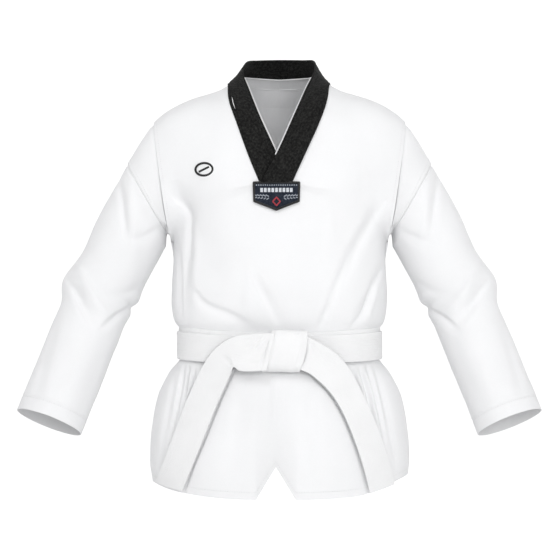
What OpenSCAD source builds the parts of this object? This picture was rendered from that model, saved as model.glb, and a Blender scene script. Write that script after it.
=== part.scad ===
// Belted V-neck training jacket: woven top with a dark collar band, a chest patch and a tied belt.
// Frame: +Z up, the wearer faces -Y, and the wearer's right side is at -X.
// The origin is where the shoulder line meets the neck, midway between the two shoulders.

/* [Jacket] */
// Half width of the body at the chest
chest_half_width = 187; // [175:1:195]
// Half depth of the body at the chest
chest_half_depth = 118; // [110:1:124]
// Half width of the jacket under the belt
waist_half_width = 172; // [162:1:176]
// Half depth of the jacket under the belt
waist_half_depth = 107; // [98:1:110]
// Half width of the skirt at its widest
skirt_half_width = 225; // [214:1:234]
// Half depth of the skirt at its widest
skirt_half_depth = 148; // [138:1:156]
// Depth of the hem below the shoulder line
hem_drop = 703; // [695:1:712]
// Thickness of a fabric layer with its seam allowance
cloth = 2; // [1.6:0.1:2.4]
// Fall of the shoulder line over each millimetre outwards
shoulder_slope = 0.44; // [0.42:0.01:0.46]

/* [Sleeves] */
// Radius of the sleeve at the upper arm
upper_radius = 62; // [58:1:64]
// Radius of the sleeve at the cuff
cuff_radius = 58; // [54:1:60]
// Width of the folded hem at the cuff
cuff_hem = 25; // [18:1:32]

/* [Collar] */
// Thickness of the collar band
band_thick = 3; // [2.4:0.1:3.4]

/* [Belt] */
// Width of the belt strap
belt_width = 48; // [44:1:49]
// Thickness of the belt strap
belt_thick = 3; // [2.4:0.1:3.2]
// Depth of the belt's upper edge below the shoulder line
belt_drop = 420; // [417:1:422]

/* [Patch] */
// Half width of the chest patch
patch_half_width = 41; // [37:0.5:42]
// Height of the chest patch along its sides
patch_side = 33; // [30:1:36]
// Depth of the pointed lower end of the patch
patch_point = 17; // [14:1:19]

/* [Hidden] */

white_cloth = "whitesmoke";
dark_cloth = "#1c1c1e";
navy_cloth = "#1b2433";

gap = 0.5;              // between pieces that touch on the real garment
hem_fold = 22;          // height of the folded hem on the skirt
body_power = 2.3;       // squareness of the body's cross-section
body_centre = 4;        // the body's middle lies this far towards the back
ridge_round = 110;      // how softly the chest turns over into the shoulder line
sleeve_round = 30;      // how softly the sleeve turns over into the shoulder line
armpit_round = 14;      // how softly the sleeve joins the body
neck_side = 88;         // half width between the points where collar and shoulder meet
roof_lift = 9;          // height of the shoulder line at those points, before it is rounded over

// Middle line of the sleeve: shoulder, elbow and cuff, for the side at +X
shoulder_at = [166, 4, -82];
elbow_at = [310, 14, -352];
cuff_at = [395, -58, -580];

// The seams of the sleeve in front view, each from the shoulder line to the armpit
armhole_top = [219, -62];
armhole_foot = [193, -256];
cap_top = [265, -136];
cap_foot = [196, -252];

// Half widths and half depths of the body against height
half_widths = [
    [-hem_drop - 20, skirt_half_width - 12], [-hem_drop, skirt_half_width - 6],
    [-650, skirt_half_width], [-600, skirt_half_width - 3], [-540, skirt_half_width - 16],
    [-500, skirt_half_width - 37], [-476, waist_half_width + 1], [-450, waist_half_width],
    [-410, waist_half_width + 1], [-388, chest_half_width - 5], [-360, chest_half_width],
    [-300, chest_half_width - 4], [-240, chest_half_width - 2], [0, chest_half_width + 2]
];
half_depths = [
    [-hem_drop - 20, skirt_half_depth], [-650, skirt_half_depth], [-560, skirt_half_depth - 16],
    [-500, waist_half_depth + 12], [-476, waist_half_depth], [-450, waist_half_depth],
    [-410, waist_half_depth], [-386, chest_half_depth - 2], [-340, chest_half_depth + 4],
    [-240, chest_half_depth + 2], [0, chest_half_depth - 6]
];

// --- interpolation -------------------------------------------------------------------------
function mix(a, b, t) = a + (b - a) * t;
function place_in(tab, x, i = 0) = i >= len(tab) - 2 || x < tab[i + 1][0] ? i : place_in(tab, x, i + 1);
function slope_at(tab, i) =
    let (a = max(i - 1, 0), b = min(i + 1, len(tab) - 1)) (tab[b][1] - tab[a][1]) / (tab[b][0] - tab[a][0]);
// A smooth curve through a table of [key, value], where a value is a number or a point
function along(tab, x) =
    let (i = place_in(tab, x), h = tab[i + 1][0] - tab[i][0], t = min(max((x - tab[i][0]) / h, 0), 1))
    (2 * t^3 - 3 * t^2 + 1) * tab[i][1] + (t^3 - 2 * t^2 + t) * h * slope_at(tab, i)
    + (3 * t^2 - 2 * t^3) * tab[i + 1][1] + (t^3 - t^2) * h * slope_at(tab, i + 1);
// The same curve through bare points, keyed from 0 to 1
function route(points, t) = along([for (i = [0:len(points) - 1]) [i / (len(points) - 1), points[i]]], t);

// --- the wearer's form, as a field that is negative inside ---------------------------------
function soft_min(a, b, k) = let (h = max(k - abs(a - b), 0) / k) min(a, b) - h * h * k / 4;
function soft_max(a, b, k) = -soft_min(-a, -b, k);
function to_line(p, a, b) =
    let (d = b - a, t = min(max((p - a) * d / (d * d), 0), 1)) norm(p - a - t * d);
function body_field(p) =
    let (
        a = along(half_widths, p.z), b = along(half_depths, p.z),
        q = (abs(p.x) / a)^body_power + (abs(p.y - body_centre) / b)^body_power
    )
    (q^(1 / body_power) - 1) * b;
function roof_field(p) = (p.z - roof_lift - (neck_side - abs(p.x)) * shoulder_slope) * 0.915;
function sleeve_field(p) =
    let (m = [abs(p.x), p.y, p.z])
    soft_min(
        to_line(m, shoulder_at, elbow_at) - upper_radius,
        to_line(m, elbow_at, cuff_at + (cuff_at - elbow_at) * 0.3) - cuff_radius - 1, 20
    );
function field(p) =
    let (roof = roof_field(p))
    soft_min(
        soft_max(body_field(p), roof, ridge_round), soft_max(sleeve_field(p), roof, sleeve_round), armpit_round
    );
function outward(p) =
    let (
        e = 0.5,
        g = [
            field(p + [e, 0, 0]) - field(p - [e, 0, 0]),
            field(p + [0, e, 0]) - field(p - [0, e, 0]),
            field(p + [0, 0, e]) - field(p - [0, 0, e])
        ]
    )
    g / norm(g);
// Distance from a point inside, along a direction, to the form's surface
function reach_from(p, d, near = 0, far = 260, steps = 17) =
    steps == 0 ? near
    : let (m = (near + far) / 2)
      field(p + d * m) < 0 ? reach_from(p, d, m, far, steps - 1) : reach_from(p, d, near, m, steps - 1);
// The point of the form's front (side -1) or back (side 1) at a place in front view, lifted off it
function on_form(x, z, side, lift = 0) =
    let (
        start = [x, body_centre, z],
        p = field(start) >= 0 ? start : start + [0, side, 0] * reach_from(start, [0, side, 0])
    )
    p + outward(p) * lift;

// --- solids from grids of points -------------------------------------------------------------
function quad(a, b, c, d) = [[a, b, c], [a, c, d]];
function flat_list(v) = [for (a = v) for (b = a) b];
// A solid between two grids of the same size. A ring has its last column joined to its first.
module between(outer, inner, ring = false) {
    rows = len(outer);
    cols = len(outer[0]);
    n = rows * cols;
    last = ring ? cols - 1 : cols - 2;
    function o(r, c) = r * cols + (c % cols);
    function i(r, c) = n + o(r, c);
    polyhedron(
        points = concat(flat_list(outer), flat_list(inner)),
        faces = flat_list(concat(
            [for (r = [0:rows - 2], c = [0:last]) quad(o(r, c), o(r, c + 1), o(r + 1, c + 1), o(r + 1, c))],
            [for (r = [0:rows - 2], c = [0:last]) quad(i(r, c), i(r + 1, c), i(r + 1, c + 1), i(r, c + 1))],
            [for (c = [0:last]) quad(o(0, c), i(0, c), i(0, c + 1), o(0, c + 1))],
            [for (c = [0:last]) quad(o(rows - 1, c), o(rows - 1, c + 1), i(rows - 1, c + 1), i(rows - 1, c))],
            ring ? [] : [for (r = [0:rows - 2]) quad(o(r, 0), o(r + 1, 0), i(r + 1, 0), i(r, 0))],
            ring ? [] : [for (r = [0:rows - 2])
                quad(o(r, cols - 1), i(r, cols - 1), i(r + 1, cols - 1), o(r + 1, cols - 1))]
        ))
    );
}
// A solid of one fabric layer inside a grid that lies on the form
module layer(grid, ring = false, from = 0, to = cloth) {
    between(
        [for (row = grid) [for (p = row) p - outward(p) * from]],
        [for (row = grid) [for (p = row) p - outward(p) * to]], ring
    );
}

// --- the body's panels -----------------------------------------------------------------------
panel_foot = -belt_drop - belt_width - 10;                 // where the body panels end, under the belt
opening_rows = 12;                                         // grid rows below the foot of the opening
panel_rows = 22;
panel_cols = 12;
collar_foot = [29, -167];                                  // lower end of the collar seam

// Height of the shoulder line over a distance from the middle
function ridge(x) = reach_from([x, body_centre, -200], [0, 0, 1]) - 200.3;
// Outer boundary of a panel: up the side, then up the armhole
function panel_side(v) =
    v < 0.5
    ? let (z = mix(panel_foot, armhole_foot[1], v / 0.5))
      [mix(along(half_widths, z) - 0.05, armhole_foot[0] - 1.3, max(0, (v - 0.4) / 0.1)), z]
    : mix([armhole_foot[0] - 1.3, armhole_foot[1]], [armhole_top[0] - 1.3, ridge(armhole_top[0])], (v - 0.5) / 0.5);
// The neck opening of a panel, from its middle to the shoulder line
function front_opening(t) =
    t < 0.2 ? mix([0, collar_foot[1] - 2], collar_foot, t / 0.2)
    : mix(collar_foot, [neck_side, ridge(neck_side)], (t - 0.2) / 0.8);
function back_opening(t) = [neck_side * sin(90 * t), mix(9, ridge(neck_side), t^3)];
function opening(side, t) = side < 0 ? front_opening(t) : back_opening(t);
function panel_inside(side, v, split) =
    v <= split ? [0, mix(panel_foot, opening(side, 0)[1], v / split)] : opening(side, (v - split) / (1 - split));
// One half of a panel. Its top row is brought onto the shoulder line.
function half_panel(side) =
    [for (r = [0:panel_rows])
        let (
            v = r / panel_rows, a = panel_inside(side, v, opening_rows / panel_rows), b = panel_side(v),
            e = panel_inside(side, 1, 0.5), f = panel_side(1)
        )
        [for (c = [0:panel_cols])
            let (
                k = mix(c / panel_cols, sin(90 * c / panel_cols), 0.85), q = mix(a, b, k),
                line = mix(e, f, k), z = q[1] + (ridge(line[0]) - line[1]) * v^6,
                p = r == panel_rows ? [q[0], body_centre, ridge(q[0])] : on_form(q[0], min(z, ridge(q[0])), side)
            )
            [p.x, side > 0 ? max(p.y, body_centre + gap / 2) : min(p.y, body_centre - gap / 2), p.z]
        ]
    ];
// A panel is two mirrored halves that share their middle column up to the foot of the opening
module panel(side) {
    half = half_panel(side);
    w = panel_cols + 1;
    rows = panel_rows + 1;
    n = rows * w;
    flat = flat_list(half);
    deep = [for (p = flat) let (q = p - outward(p) * cloth) [p.x < 0.01 ? 0 : max(q.x, 0.01), q.y, q.z]];
    flip = [[-1, 0, 0], [0, 1, 0], [0, 0, 1]];
    // layer 0 is outside and 1 inside; half 0 is at +X and 1 at -X
    function id(l, h, r, c) = h == 1 && c == 0 && r <= opening_rows ? id(l, 0, r, 0) : (l * 2 + h) * n + r * w + c;
    function turned(f, way) = way ? f : [for (t = f) [t[0], t[2], t[1]]];
    faces = [for (h = [0, 1]) let (way = (h == 0) == (side < 0)) each [
        for (r = [0:rows - 2], c = [0:w - 2]) each turned(
            quad(id(0, h, r, c), id(0, h, r + 1, c), id(0, h, r + 1, c + 1), id(0, h, r, c + 1)), way),
        for (r = [0:rows - 2], c = [0:w - 2]) each turned(
            quad(id(1, h, r, c), id(1, h, r, c + 1), id(1, h, r + 1, c + 1), id(1, h, r + 1, c)), way),
        for (c = [0:w - 2]) each turned(
            quad(id(0, h, 0, c), id(0, h, 0, c + 1), id(1, h, 0, c + 1), id(1, h, 0, c)), way),
        for (c = [0:w - 2]) each turned(
            quad(id(0, h, rows - 1, c), id(1, h, rows - 1, c), id(1, h, rows - 1, c + 1),
                 id(0, h, rows - 1, c + 1)), way),
        for (r = [0:rows - 2]) each turned(
            quad(id(0, h, r, w - 1), id(0, h, r + 1, w - 1), id(1, h, r + 1, w - 1), id(1, h, r, w - 1)), way),
        for (r = [opening_rows:rows - 2]) each turned(
            quad(id(0, h, r, 0), id(1, h, r, 0), id(1, h, r + 1, 0), id(0, h, r + 1, 0)), way)
    ]];
    polyhedron(
        points = concat(flat, [for (p = flat) flip * p], deep, [for (p = deep) flip * p]), faces = faces
    );
}
module front_panel() { color(white_cloth) panel(-1); }
module back_panel() { color(white_cloth) panel(1); }

// --- sleeves ---------------------------------------------------------------------------------
// Everything along a sleeve is keyed by distance in mm from the armhole seam
upper_way = (elbow_at - shoulder_at) / norm(elbow_at - shoulder_at);
lower_way = (cuff_at - elbow_at) / norm(cuff_at - elbow_at);
elbow_key = 196;
cuff_key = elbow_key + norm(cuff_at - elbow_at);
cap_key = 40;
head_key = 95;
upper_end_key = 126;
forearm_key = 270;
function mid_of(top, foot) = [(top[0] + foot[0]) / 2, body_centre, (top[1] + foot[1]) / 2];
function rise_of(top, foot) = let (d = [top[0] - foot[0], 0, top[1] - foot[1]]) d / norm(d);
function across(way) = let (d = [-way.z, 0, way.x]) d / norm(d);
sleeve_centres = [
    [0, mid_of(armhole_top, armhole_foot)], [cap_key, mid_of(cap_top, cap_foot)],
    [90, elbow_at - upper_way * (elbow_key - 90)], [elbow_key, elbow_at], [cuff_key, cuff_at]
];
sleeve_rises = [
    [0, rise_of(armhole_top, armhole_foot)], [cap_key, rise_of(cap_top, cap_foot)],
    [90, across(upper_way)], [150, across(upper_way)], [245, across(lower_way)], [cuff_key, across(lower_way)]
];
sleeve_ways = [[0, upper_way], [150, upper_way], [245, lower_way], [cuff_key, lower_way]];
// How far the cloth can lie from the middle line, which ends the sleeve at the armpit
sleeve_limits = [[0, 98], [cap_key, 68], [90, 66], [cuff_key, 66]];
// A point of the sleeve on the form; turn 0 is the outer side and turn 90 the front
function on_sleeve(key, turn) =
    let (
        c = along(sleeve_centres, key), u = along(sleeve_rises, key), w = along(sleeve_ways, key),
        f = [0, -1, 0] + w * w.y / (w * w), d = u * cos(turn) + f / norm(f) * sin(turn)
    )
    c + d * reach_from(c, d, 0, along(sleeve_limits, key));
module sleeve_part(from_key, to_key, rows, cols = 28, from = 0, to = cloth) {
    layer([for (r = [0:rows])
        [for (c = [0:cols - 1]) on_sleeve(mix(from_key + gap / 2, to_key - gap / 2, r / rows), -360 * c / cols)]
    ], true, from, to);
}
module to_right() { mirror([1, 0, 0]) children(); }

module left_cap_panel() { color(white_cloth) sleeve_part(3 * gap, cap_key, 4); }
module left_armhole_fabric() { color(white_cloth) sleeve_part(cap_key, head_key, 4); }
module left_upper_sleeve_tube() { color(white_cloth) sleeve_part(head_key, upper_end_key, 3); }
module left_elbow_fabric() { color(white_cloth) sleeve_part(upper_end_key, forearm_key, 8); }
module left_forearm_sleeve_tube() { color(white_cloth) sleeve_part(forearm_key, cuff_key - cuff_hem, 6); }
module left_cuff_band() { color(white_cloth) sleeve_part(cuff_key - cuff_hem, cuff_key, 2); }
module right_cap_panel() { to_right() left_cap_panel(); }
module right_armhole_fabric() { to_right() left_armhole_fabric(); }
module right_upper_sleeve_tube() { to_right() left_upper_sleeve_tube(); }
module right_elbow_fabric() { to_right() left_elbow_fabric(); }
module right_forearm_sleeve_tube() { to_right() left_forearm_sleeve_tube(); }
module right_cuff_band() { to_right() left_cuff_band(); }

// --- collar ----------------------------------------------------------------------------------
// The free edge of the left band from the middle of the back, over the shoulder, to the crossing
free_edge = [
    [0, 60, 50], [38, 54, 49], [60, 24, 46], [60, -12, 26], [46, -54, -8], [23, -91, -60], [-3, -111, -117],
    [-28, -113, -166]
];
collar_cols = 28;
// The seam of a band, on the edge of the neck opening
function band_seam(t) =
    t < 0.4 ? let (q = back_opening(t / 0.4)) on_form(max(q[0] - gap, 0), q[1] + gap, 1)
    : let (q = front_opening(0.2 + 0.8 * (1 - t) / 0.6)) on_form(q[0] - 1.2, q[1] + gap / 2, -1);
// The free edge of the left band crosses the middle; the right band stops short of it
function band_free(t, over) =
    let (p = route(free_edge, t), q = [max(p.x, 2 * gap), p.y, p.z], past = max(0, (t - 6 / 7) * 7))
    over ? p : t <= 6 / 7 ? [p.x < 3 ? mix(p.x, 4.5, max(0, (t - 0.7) / (1 / 7 + 0.02))) : p.x, p.y, p.z]
    : [mix(4.5, 29.5, past), p.y, p.z];
function band_point(t, w, over) =
    let (a = band_seam(t), b = band_free(t, over)) mix(a, b, w) + [0, t > 0.4 ? -3 * sin(180 * w) : 0, 0];
function crossed(a, b) = let (n = cross(a, b)) n / norm(n);
function grid_normal(g, r, c) =
    let (r0 = max(r - 1, 0), r1 = min(r + 1, len(g) - 1), c0 = max(c - 1, 0), c1 = min(c + 1, len(g[0]) - 1))
    crossed(g[r1][c] - g[r0][c], g[r][c1] - g[r][c0]);
function lifted(g, d) = [for (r = [0:len(g) - 1]) [for (c = [0:len(g[0]) - 1]) g[r][c] + grid_normal(g, r, c) * d]];
module strip(g, thick) { between(lifted(g, thick / 2), lifted(g, -thick / 2)); }
module band(from, to, over, thick) {
    strip([for (r = [0:4]) [for (c = [0:collar_cols])
        let (p = band_point(c / collar_cols, mix(to, from, r / 4), over)) [c == 0 ? gap / 2 : p.x, p.y, p.z]
    ]], thick);
}
module left_collar_band() { color(dark_cloth) band(0, 1, true, band_thick); }
module right_collar_band() { color(dark_cloth) to_right() band(0, 1, false, band_thick); }

// Thin piping along the free edge, from one side of the crossing round the neck to the other
module neck_piping() {
    color(white_cloth) strip([for (r = [0:1]) [for (c = [-24:24])
        let (t = abs(c) / 24 * 0.8, p = mix(band_seam(t), route(free_edge, t), 1.06 + 0.06 * (1 - r)))
        [c < 0 ? -p.x : p.x, p.y, p.z]
    ]], 2);
}

// --- patch and emblem --------------------------------------------------------------------------
patch_middle = -4;                                         // the patch sits a little to the wearer's right
patch_top = collar_foot[1] - 2;
// Half width of the patch at a depth below its upper edge
function patch_half(d) =
    d <= patch_side ? patch_half_width
    : patch_half_width * max(0.04, 1 - (d - patch_side) / patch_point);
patch_depth = patch_side + patch_point;
// A flat piece on the chest: rows follow the patch outline drawn in to a share of its size
module on_chest(from, to, grid) {
    between([for (row = grid) [for (q = row) on_form(q[0], q[1], -1, to)]],
            [for (row = grid) [for (q = row) on_form(q[0], q[1], -1, from)]]);
}
module ring_on_chest(from, to, grid) {
    between([for (row = grid) [for (q = row) on_form(q[0], q[1], -1, to)]],
            [for (row = grid) [for (q = row) on_form(q[0], q[1], -1, from)]], true);
}
// The patch outline as one closed run of points, drawn in by an inset
function patch_outline(inset) = concat(
    [for (k = [0:8]) [patch_middle + (patch_half_width - inset) * (k / 4 - 1), patch_top - inset]],
    [for (k = [1:3]) [patch_middle + patch_half_width - inset, patch_top - inset - (patch_side - inset) * k / 3]],
    [for (k = [1:8]) let (d = patch_side + patch_point * k / 8)
        [patch_middle + max(0, patch_half(d) - inset) * (k == 8 ? 0 : 1), patch_top - d + inset * k / 8]],
    [for (k = [7:-1:1]) let (d = patch_side + patch_point * k / 8)
        [patch_middle - max(0, patch_half(d) - inset), patch_top - d + inset * k / 8]],
    [for (k = [3:-1:1]) [patch_middle - patch_half_width + inset, patch_top - inset - (patch_side - inset) * k / 3]]
);
module patch_backing() {
    color(navy_cloth) on_chest(2.8, 4, [for (r = [0:12]) let (d = mix(4, patch_depth - 7, r / 12))
        [for (c = [-6:6]) [patch_middle + c / 6 * (patch_half(d + 1.5) - 4), patch_top - d]]
    ]);
}
module patch_border() { color(dark_cloth) ring_on_chest(2.8, 4.6, [patch_outline(0), patch_outline(3)]); }
module patch_bar() {
    color("silver") on_chest(4.3, 5, [for (r = [0, 1]) [for (c = [-5:5]) [patch_middle + c * 5.4, patch_top - 8 - r * 8]]]);
}
module patch_arch() {
    color("silver") on_chest(4.3, 5, [for (r = [0, 1]) [for (c = [-6:6])
        [patch_middle + c * 4.4, patch_top - 22 - r * 5 - abs(c) * 1.1]
    ]]);
}
module patch_diamond() {
    color("firebrick") on_chest(4.3, 5, [for (r = [0:4]) [for (c = [-2:2])
        [patch_middle + c * 3 * (1.15 - abs(r - 2) / 2), patch_top - 31 - r * 2.2]
    ]]);
}
emblem_middle = [-130, -145];
module emblem_ring() {
    color(dark_cloth) ring_on_chest(0.5, 1.4, [for (k = [17, 12]) [for (c = [0:23])
        emblem_middle + [k * sin(15 * c), k * 0.75 * cos(15 * c)]
    ]]);
}
module emblem_bar() {
    color(dark_cloth) on_chest(0.5, 1.4, [for (r = [0, 1]) [for (c = [-3:3])
        emblem_middle + [c * 3, c * 1.2 + 2 - 4 * r]
    ]]);
}

// --- skirt -------------------------------------------------------------------------------------
yoke_top = -belt_drop - belt_width - 10.5;
yoke_foot = -545;
notch = [-6, -648];                                        // the top of the notch in the middle of the hem
notch_half = 33;                                           // half width of the notch at the hem
function hem_at(x) =
    let (low = -hem_drop + 21 * (abs(x) / skirt_half_width)^3, d = abs(x - notch[0]))
    d >= notch_half ? low : mix(notch[1], low, d / notch_half);
// Columns of the skirt as shares of its half width, with one at each corner of the notch
notch_share = notch_half / skirt_half_width;
half_columns = concat([0.5 * notch_share, notch_share], [for (k = [1:9]) mix(notch_share, 1, sin(10 * k))]);
skirt_columns = concat([for (k = [len(half_columns) - 1:-1:0]) -half_columns[k]], [0], half_columns);
function skirt_point(s, z, side) =
    let (x = s * along(half_widths, z) + notch[0] * (1 - abs(s)), p = on_form(x, z, side))
    [p.x, side > 0 ? max(p.y, body_centre + gap / 2) : min(p.y, body_centre - gap / 2), p.z];
function columns_of(side) =
    side < 0 ? skirt_columns : [for (k = [len(skirt_columns) - 1:-1:0]) skirt_columns[k]];
function hem_over(s) = hem_at(s * along(half_widths, -hem_drop) + notch[0] * (1 - abs(s)));
module yoke(side) {
    layer([for (r = [0:6]) [for (s = columns_of(side)) skirt_point(s, mix(yoke_top, yoke_foot + gap, r / 6), side)]]);
}
module skirt(side) {
    layer([for (r = [0:8]) [for (s = columns_of(side)) skirt_point(s, mix(yoke_foot, hem_over(s), r / 8), side)]]);
}
// The hem is folded up inside the skirt and follows the notch
module hem(side) {
    layer([for (r = [0:2]) [for (s = columns_of(side)) skirt_point(s, hem_over(s) + 1 + hem_fold * (1 - r / 2), side)]],
          false, cloth + gap, 2 * cloth + gap);
}
module front_waist_fabric() { color(white_cloth) yoke(-1); }
module back_waist_fabric() { color(white_cloth) yoke(1); }
module front_skirt_panel() { color(white_cloth) skirt(-1); }
module back_skirt_panel() { color(white_cloth) skirt(1); }
module front_hem_band() { color(white_cloth) hem(-1); }
module back_hem_band() { color(white_cloth) hem(1); }

// --- belt --------------------------------------------------------------------------------------
// The belt sits higher at the sides than in the middle
function belt_rise(x) = 8 * (abs(x) / waist_half_width)^2 - 5;
function waist_point(turn, z, lift) =
    let (d = [sin(turn), -cos(turn), 0], c = [0, body_centre, -450], p = c + d * reach_from(c, d), q = p + outward(p) * lift)
    [q.x, q.y, z + belt_rise(q.x)];
module wrap(top, lift) {
    color(white_cloth) between(
        [for (r = [0:3]) [for (c = [0:59]) waist_point(6 * c, top - belt_width * r / 3, lift + belt_thick)]],
        [for (r = [0:3]) [for (c = [0:59]) waist_point(6 * c, top - belt_width * r / 3, lift)]], true
    );
}
module belt_inner_wrap() { wrap(-belt_drop, 1.2); }
module belt_outer_wrap() { wrap(-belt_drop - 8, 1.8 + belt_thick); }
belt_face = body_centre - waist_half_depth - 2 * belt_thick - 2.4;   // front of the outer wrap
knot_top = -424;
knot_foot = -499;
knot_x = 20;
function knot_slant(z) = knot_x + (z + 460) / 5;
// Below the belt the skirt flares, so the knot stands forward of it there
function knot_back(z) = belt_face - max(0, -482 - z) * 0.8;
// The knot band bulges forward over the core inside it
module knot_pad(half, from_z, to_z, inner, outer, inner_bulge, outer_bulge) {
    function shell(depth, bulge) = [for (r = [0:10]) let (v = r / 5 - 1, z = mix(from_z, to_z, r / 10))
        [for (c = [-8:8]) let (u = c / 8)
            [knot_slant(z) + half * u * (1 - 0.08 * v * v),
             knot_back(z) - depth - bulge * sqrt(max(0, (1 - u^4) * (1 - v^4))), z]]];
    between(shell(outer, outer_bulge), shell(inner, inner_bulge));
}
module belt_knot_band() { color(white_cloth) knot_pad(36, knot_top, knot_foot, 5.2, 8.4, 13, 13); }
module belt_knot_core() { color(white_cloth) knot_pad(31, knot_top - 5, knot_foot + 5, 0.8, 3.6, 0, 11); }

// A tail lies on the skirt; its middle line in front view runs from the knot to the tip
left_line = [[76, -456], [104, -480], [130, -518], [152, -566], [172, -622], [190, -690]];
right_line = [[-48, -448], [-88, -464], [-120, -506], [-146, -560], [-168, -622], [-196, -690]];
function side_way(line, t) =
    let (d = route(line, min(t + 0.02, 1)) - route(line, max(t - 0.02, 0))) [-d[1], d[0]] / norm(d);
// The strap lies on the skirt and stands forward, clear of the belt, as it comes near the knot
function strap_point(line, t, w, lift) =
    let (
        q = route(line, t) + side_way(line, t) * w, p = on_form(q[0], min(q[1], -490), -1, lift),
        near = max(0, 1 - t / 0.42)
    )
    [p.x, p.y - 16 * near * near * (3 - 2 * near) - 3 * (1 - t), q[1] + p.z - min(q[1], -490)];
module strap(line, from_t, to_t, rows) {
    half = belt_width / 2 - 1;
    strip([for (r = [0:rows]) [for (c = [-3:3])
        strap_point(line, mix(from_t, to_t, r / rows), c * half / 3, 2 + belt_thick / 2)
    ]], belt_thick);
}
tail_top = 0.42;
tip_top = 0.95;
module left_belt_bight() { color(white_cloth) strap(left_line, 0, tail_top - 0.004, 8); }
module right_belt_bight() { color(white_cloth) strap(right_line, 0, tail_top - 0.004, 8); }
module left_belt_tail() { color(white_cloth) strap(left_line, tail_top, tip_top - 0.004, 10); }
module right_belt_tail() { color(white_cloth) strap(right_line, tail_top, tip_top - 0.004, 10); }
module left_tail_tip() { color(white_cloth) strap(left_line, tip_top, 1, 2); }
module right_tail_tip() { color(white_cloth) strap(right_line, tip_top, 1, 2); }

front_panel();
back_panel();
left_collar_band();
right_collar_band();
neck_piping();
patch_backing();
patch_border();
patch_bar();
patch_arch();
patch_diamond();
emblem_ring();
emblem_bar();
left_cap_panel();
right_cap_panel();
left_armhole_fabric();
right_armhole_fabric();
left_upper_sleeve_tube();
right_upper_sleeve_tube();
left_elbow_fabric();
right_elbow_fabric();
left_forearm_sleeve_tube();
right_forearm_sleeve_tube();
left_cuff_band();
right_cuff_band();
front_waist_fabric();
back_waist_fabric();
front_skirt_panel();
back_skirt_panel();
front_hem_band();
back_hem_band();
belt_inner_wrap();
belt_outer_wrap();
belt_knot_core();
belt_knot_band();
left_belt_bight();
right_belt_bight();
left_belt_tail();
right_belt_tail();
left_tail_tip();
right_tail_tip();
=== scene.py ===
"""White martial arts jacket with a dark collar band and a tied belt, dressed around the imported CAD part."""

import math

import bmesh
import bpy
import numpy as np
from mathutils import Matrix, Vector


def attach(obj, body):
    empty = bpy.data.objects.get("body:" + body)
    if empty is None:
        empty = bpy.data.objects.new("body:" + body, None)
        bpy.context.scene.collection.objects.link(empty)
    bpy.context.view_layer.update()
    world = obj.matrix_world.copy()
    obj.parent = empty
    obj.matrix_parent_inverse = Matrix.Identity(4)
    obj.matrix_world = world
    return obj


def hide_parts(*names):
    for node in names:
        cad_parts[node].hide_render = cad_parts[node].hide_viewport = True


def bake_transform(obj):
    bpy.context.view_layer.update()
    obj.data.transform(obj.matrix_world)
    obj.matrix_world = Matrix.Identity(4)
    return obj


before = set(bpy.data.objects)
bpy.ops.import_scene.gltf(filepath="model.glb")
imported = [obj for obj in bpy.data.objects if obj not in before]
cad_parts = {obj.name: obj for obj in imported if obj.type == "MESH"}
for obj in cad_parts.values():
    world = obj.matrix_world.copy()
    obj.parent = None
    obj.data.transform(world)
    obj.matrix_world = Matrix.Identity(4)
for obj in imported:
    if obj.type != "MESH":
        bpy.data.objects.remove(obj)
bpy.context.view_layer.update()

SIDES = {"left": 1, "right": -1}
FORWARD = np.array([0, -1.0, 0])
CLOTH = 0.0016  # thickness of the jacket's cloth
STRAP = 0.0034  # thickness of the belt strap
CENTRE = 0.004  # the body's middle lies this far towards the back


def unit(v):
    return v / np.maximum(np.linalg.norm(v, axis=-1, keepdims=True), 1e-12)


# --- the wearer's form, as a field that is negative inside ---------------------------------
# Half widths and half depths of the body, each (height, value)
HALF_WIDTHS = [
    (-0.723, 0.213), (-0.703, 0.219), (-0.65, 0.226), (-0.60, 0.224), (-0.54, 0.213), (-0.50, 0.194),
    (-0.476, 0.177), (-0.45, 0.172), (-0.424, 0.173), (-0.410, 0.183), (-0.388, 0.188), (-0.36, 0.189),
    (-0.30, 0.185), (-0.24, 0.185), (0.0, 0.189),
]
HALF_DEPTHS = [
    (-0.723, 0.148), (-0.65, 0.148), (-0.56, 0.132), (-0.50, 0.119), (-0.476, 0.108), (-0.45, 0.107),
    (-0.422, 0.1072), (-0.406, 0.1105), (-0.386, 0.1140), (-0.34, 0.120), (-0.24, 0.120), (0.0, 0.112),
]
SHOULDER = np.array([0.166, 0.004, -0.082])
ELBOW = np.array([0.310, 0.014, -0.352])
CUFF = np.array([0.395, -0.058, -0.580])
UPPER_WAY, LOWER_WAY = unit(ELBOW - SHOULDER), unit(CUFF - ELBOW)
UPPER_RADIUS, LOWER_RADIUS = 0.062, 0.059  # of the sleeve above and below the elbow
PAST_CUFF = 0.3  # how far the form of the forearm goes on past the cuff, as a share of its length
SQUARENESS = 2.3  # of the body's section, where 2 is an ellipse
ROOF_HEIGHT, ROOF_START, ROOF_SLOPE = 0.009, 0.088, 0.44  # of the shoulders, which slope down to each side
ROOF_SCALE = 0.915  # turns a height over that slope into a distance from it


def mix(a, b, t):
    return a + (b - a) * t


def ease(x, a, b):
    """0 before a, 1 after b and smooth between."""
    t = np.clip((np.asarray(x, float) - a) / (b - a), 0, 1)
    return t * t * (3 - 2 * t)


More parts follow.
